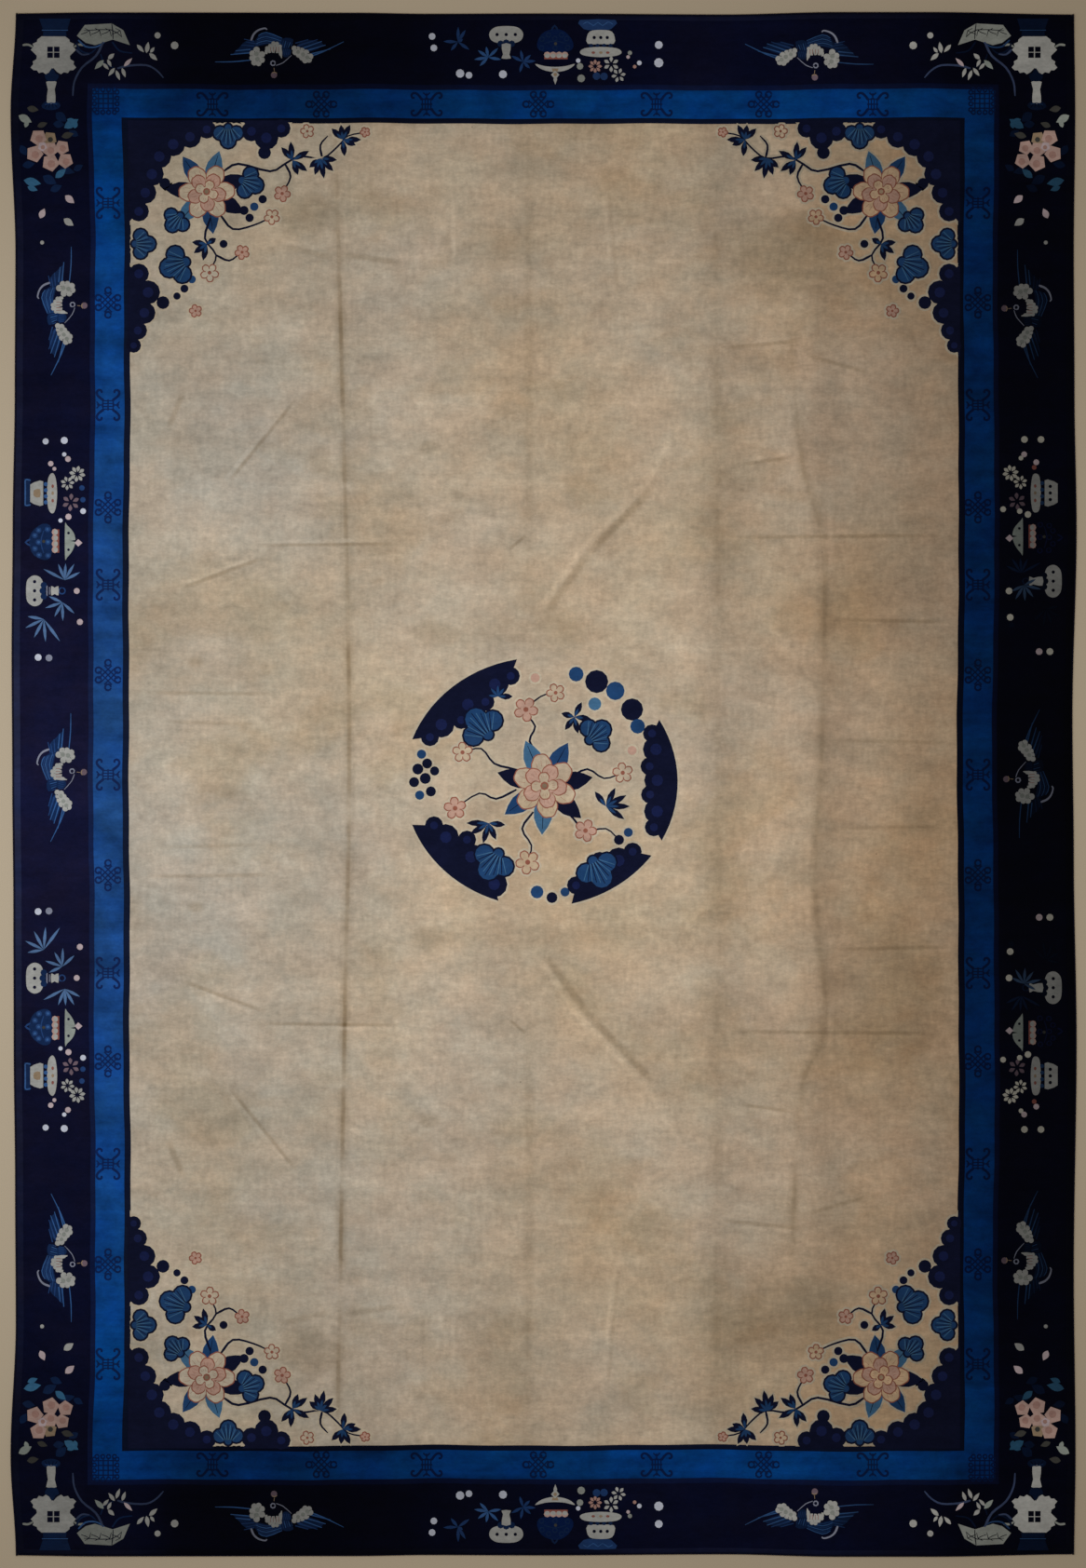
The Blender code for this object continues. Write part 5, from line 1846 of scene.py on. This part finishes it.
def haloed(draw, lowest=-1000.0):
    """A cartoon whose shapes each lie on a slightly larger pale one, which ends at a line."""
    cartoon = Cartoon()
    cartoon.grow, cartoon.only = bpy.context.scene.carpet_sizes.halo, "carved_halo"
    draw(cartoon)
    cartoon.shapes = [(yarn, level, np.maximum(points, lowest)) for yarn, level, points in cartoon.shapes]
    cartoon.grow, cartoon.only = 0.0, None
    draw(cartoon)
    return cartoon


class CARPET_OT_medallion(bpy.types.Operator):
    """Knot the round flower medallion in the middle of the field"""
    bl_idname = "carpet.medallion"
    bl_label = "Medallion"

    def execute(self, context):
        lay_cartoon("medallion", haloed(draw_medallion), on_carpet(*MEDALLION_MIDDLE))
        return {"FINISHED"}


class CARPET_OT_field_corners(bpy.types.Operator):
    """Knot the flowered cloud in each corner of the field"""
    bl_idname = "carpet.field_corners"
    bl_label = "Field corners"

    def execute(self, context):
        for name, (start, across, down) in CORNERS.items():
            corner = haloed(draw_field_corner, HALO_CORNER)
            lay_cartoon("field_corner_" + name, corner, on_carpet(*start), across, down)
        return {"FINISHED"}


# --- The stage ---

# Half the floor's side, and how far the camera stands from straight above the carpet's middle.
FLOOR_HALF = 60.0
CAMERA_ASIDE = (-0.0016, 0.0013)


def soft_light(name, power, size, place, aim, colour):
    """A rectangular soft light that the camera doesn't see."""
    data = bpy.data.lights.new(name, "AREA")
    data.shape = "RECTANGLE"
    data.size, data.size_y = size
    data.energy = power
    data.color = colour
    light = bpy.data.objects.new(name, data)
    light.location = place
    light.rotation_euler = (Vector(aim) - Vector(place)).to_track_quat("-Z", "Y").to_euler()
    light.visible_camera = False
    bpy.context.scene.collection.objects.link(light)
    return light


class CARPET_OT_stage(bpy.types.Operator):
    """Set the plain floor, the soft light and the camera over the carpet"""
    bl_idname = "carpet.stage"
    bl_label = "Stage"

    def execute(self, context):
        settings = context.scene.carpet_stage
        mesh = bmesh.new()
        bmesh.ops.create_grid(mesh, x_segments=2, y_segments=2, size=FLOOR_HALF)
        data = bpy.data.meshes.new("floor")
        mesh.to_mesh(data)
        mesh.free()
        data.materials.append(self.floor_material(settings))
        floor = bpy.data.objects.new("floor", data)
        context.scene.collection.objects.link(floor)

        for name, power, size, place, aim, colour in (
                ("overhead_key", settings.key_power, (1.6, 3.2), (-0.55, 0.0, 3.1), (-0.45, 0.0, 0.0),
                 (0.95, 0.98, 1.0)),
                ("window_side", settings.side_power, (1.0, 4.0), (-4.2, 0.0, 2.3), (-0.2, 0.0, 0.0),
                 (0.88, 0.94, 1.0))):
            soft_light(name, power, size, place, aim, colour)
        world = bpy.data.worlds.new("Even fill")
        world.use_nodes = True
        world.node_tree.nodes["Background"].inputs["Color"].default_value = (1.0, 0.90, 0.76, 1.0)
        world.node_tree.nodes["Background"].inputs["Strength"].default_value = settings.fill
        context.scene.world = world

        camera_data = bpy.data.cameras.new("Camera")
        camera_data.lens = settings.lens
        camera_data.sensor_width = 36.0
        camera = bpy.data.objects.new("Camera", camera_data)
        camera.location = (*CAMERA_ASIDE, CARPET_THICKNESS + settings.camera_height)
        context.scene.collection.objects.link(camera)
        context.scene.camera = camera
        context.scene.view_settings.view_transform = "Standard"
        return {"FINISHED"}

    def floor_material(self, settings):
        """Plain pale matt floor."""
        material = bpy.data.materials.new("Plain floor")
        material.use_nodes = True
        shader = material.node_tree.nodes["Principled BSDF"]
        shader.inputs["Base Color"].default_value = (*settings.floor, 1.0)
        shader.inputs["Roughness"].default_value = 0.9
        shader.inputs["Specular IOR Level"].default_value = 0.1
        return material


class CARPET_OT_cloth(bpy.types.Operator):
    """An empty step: the pile, the edges and the motifs stay separate pieces."""
    bl_idname = "carpet.cloth"
    bl_label = "Join as one cloth"

    def execute(self, context):
        return {"FINISHED"}


# --- The add-on ---

SETTINGS = {"carpet_yarns": CarpetYarns, "carpet_sizes": CarpetSizes, "carpet_stage": CarpetStage}
STEPS = (
    CARPET_OT_back, CARPET_OT_pile, CARPET_OT_edges, CARPET_OT_emblems, CARPET_OT_cranes,
    CARPET_OT_vases, CARPET_OT_corners, CARPET_OT_medallion, CARPET_OT_field_corners,
    CARPET_OT_stage, CARPET_OT_cloth,
)


class CARPET_PT_steps(bpy.types.Panel):
    """The carpet's steps and settings"""
    bl_idname = "CARPET_PT_steps"
    bl_label = "Chinese Carpet"
    bl_space_type = "VIEW_3D"
    bl_region_type = "UI"
    bl_category = "Carpet"

    def draw(self, context):
        for step in STEPS:
            self.layout.operator(step.bl_idname)
        for name in SETTINGS:
            settings = getattr(context.scene, name)
            for key in settings.__annotations__:
                self.layout.prop(settings, key)


def register():
    """Adds the settings, the steps and the panel."""
    for cls in (*SETTINGS.values(), *STEPS, CARPET_PT_steps):
        bpy.utils.register_class(cls)
    for name, group in SETTINGS.items():
        setattr(bpy.types.Scene, name, PointerProperty(type=group))


def unregister():
    """Takes them away again."""
    for name in SETTINGS:
        delattr(bpy.types.Scene, name)
    for cls in (CARPET_PT_steps, *reversed(STEPS), *reversed(SETTINGS.values())):
        bpy.utils.unregister_class(cls)


def main():
    """Makes the whole carpet and its stage."""
    register()
    for step in STEPS:
        group, name = step.bl_idname.split(".")
        getattr(getattr(bpy.ops, group), name)()


if __name__ == "__main__":
    main()
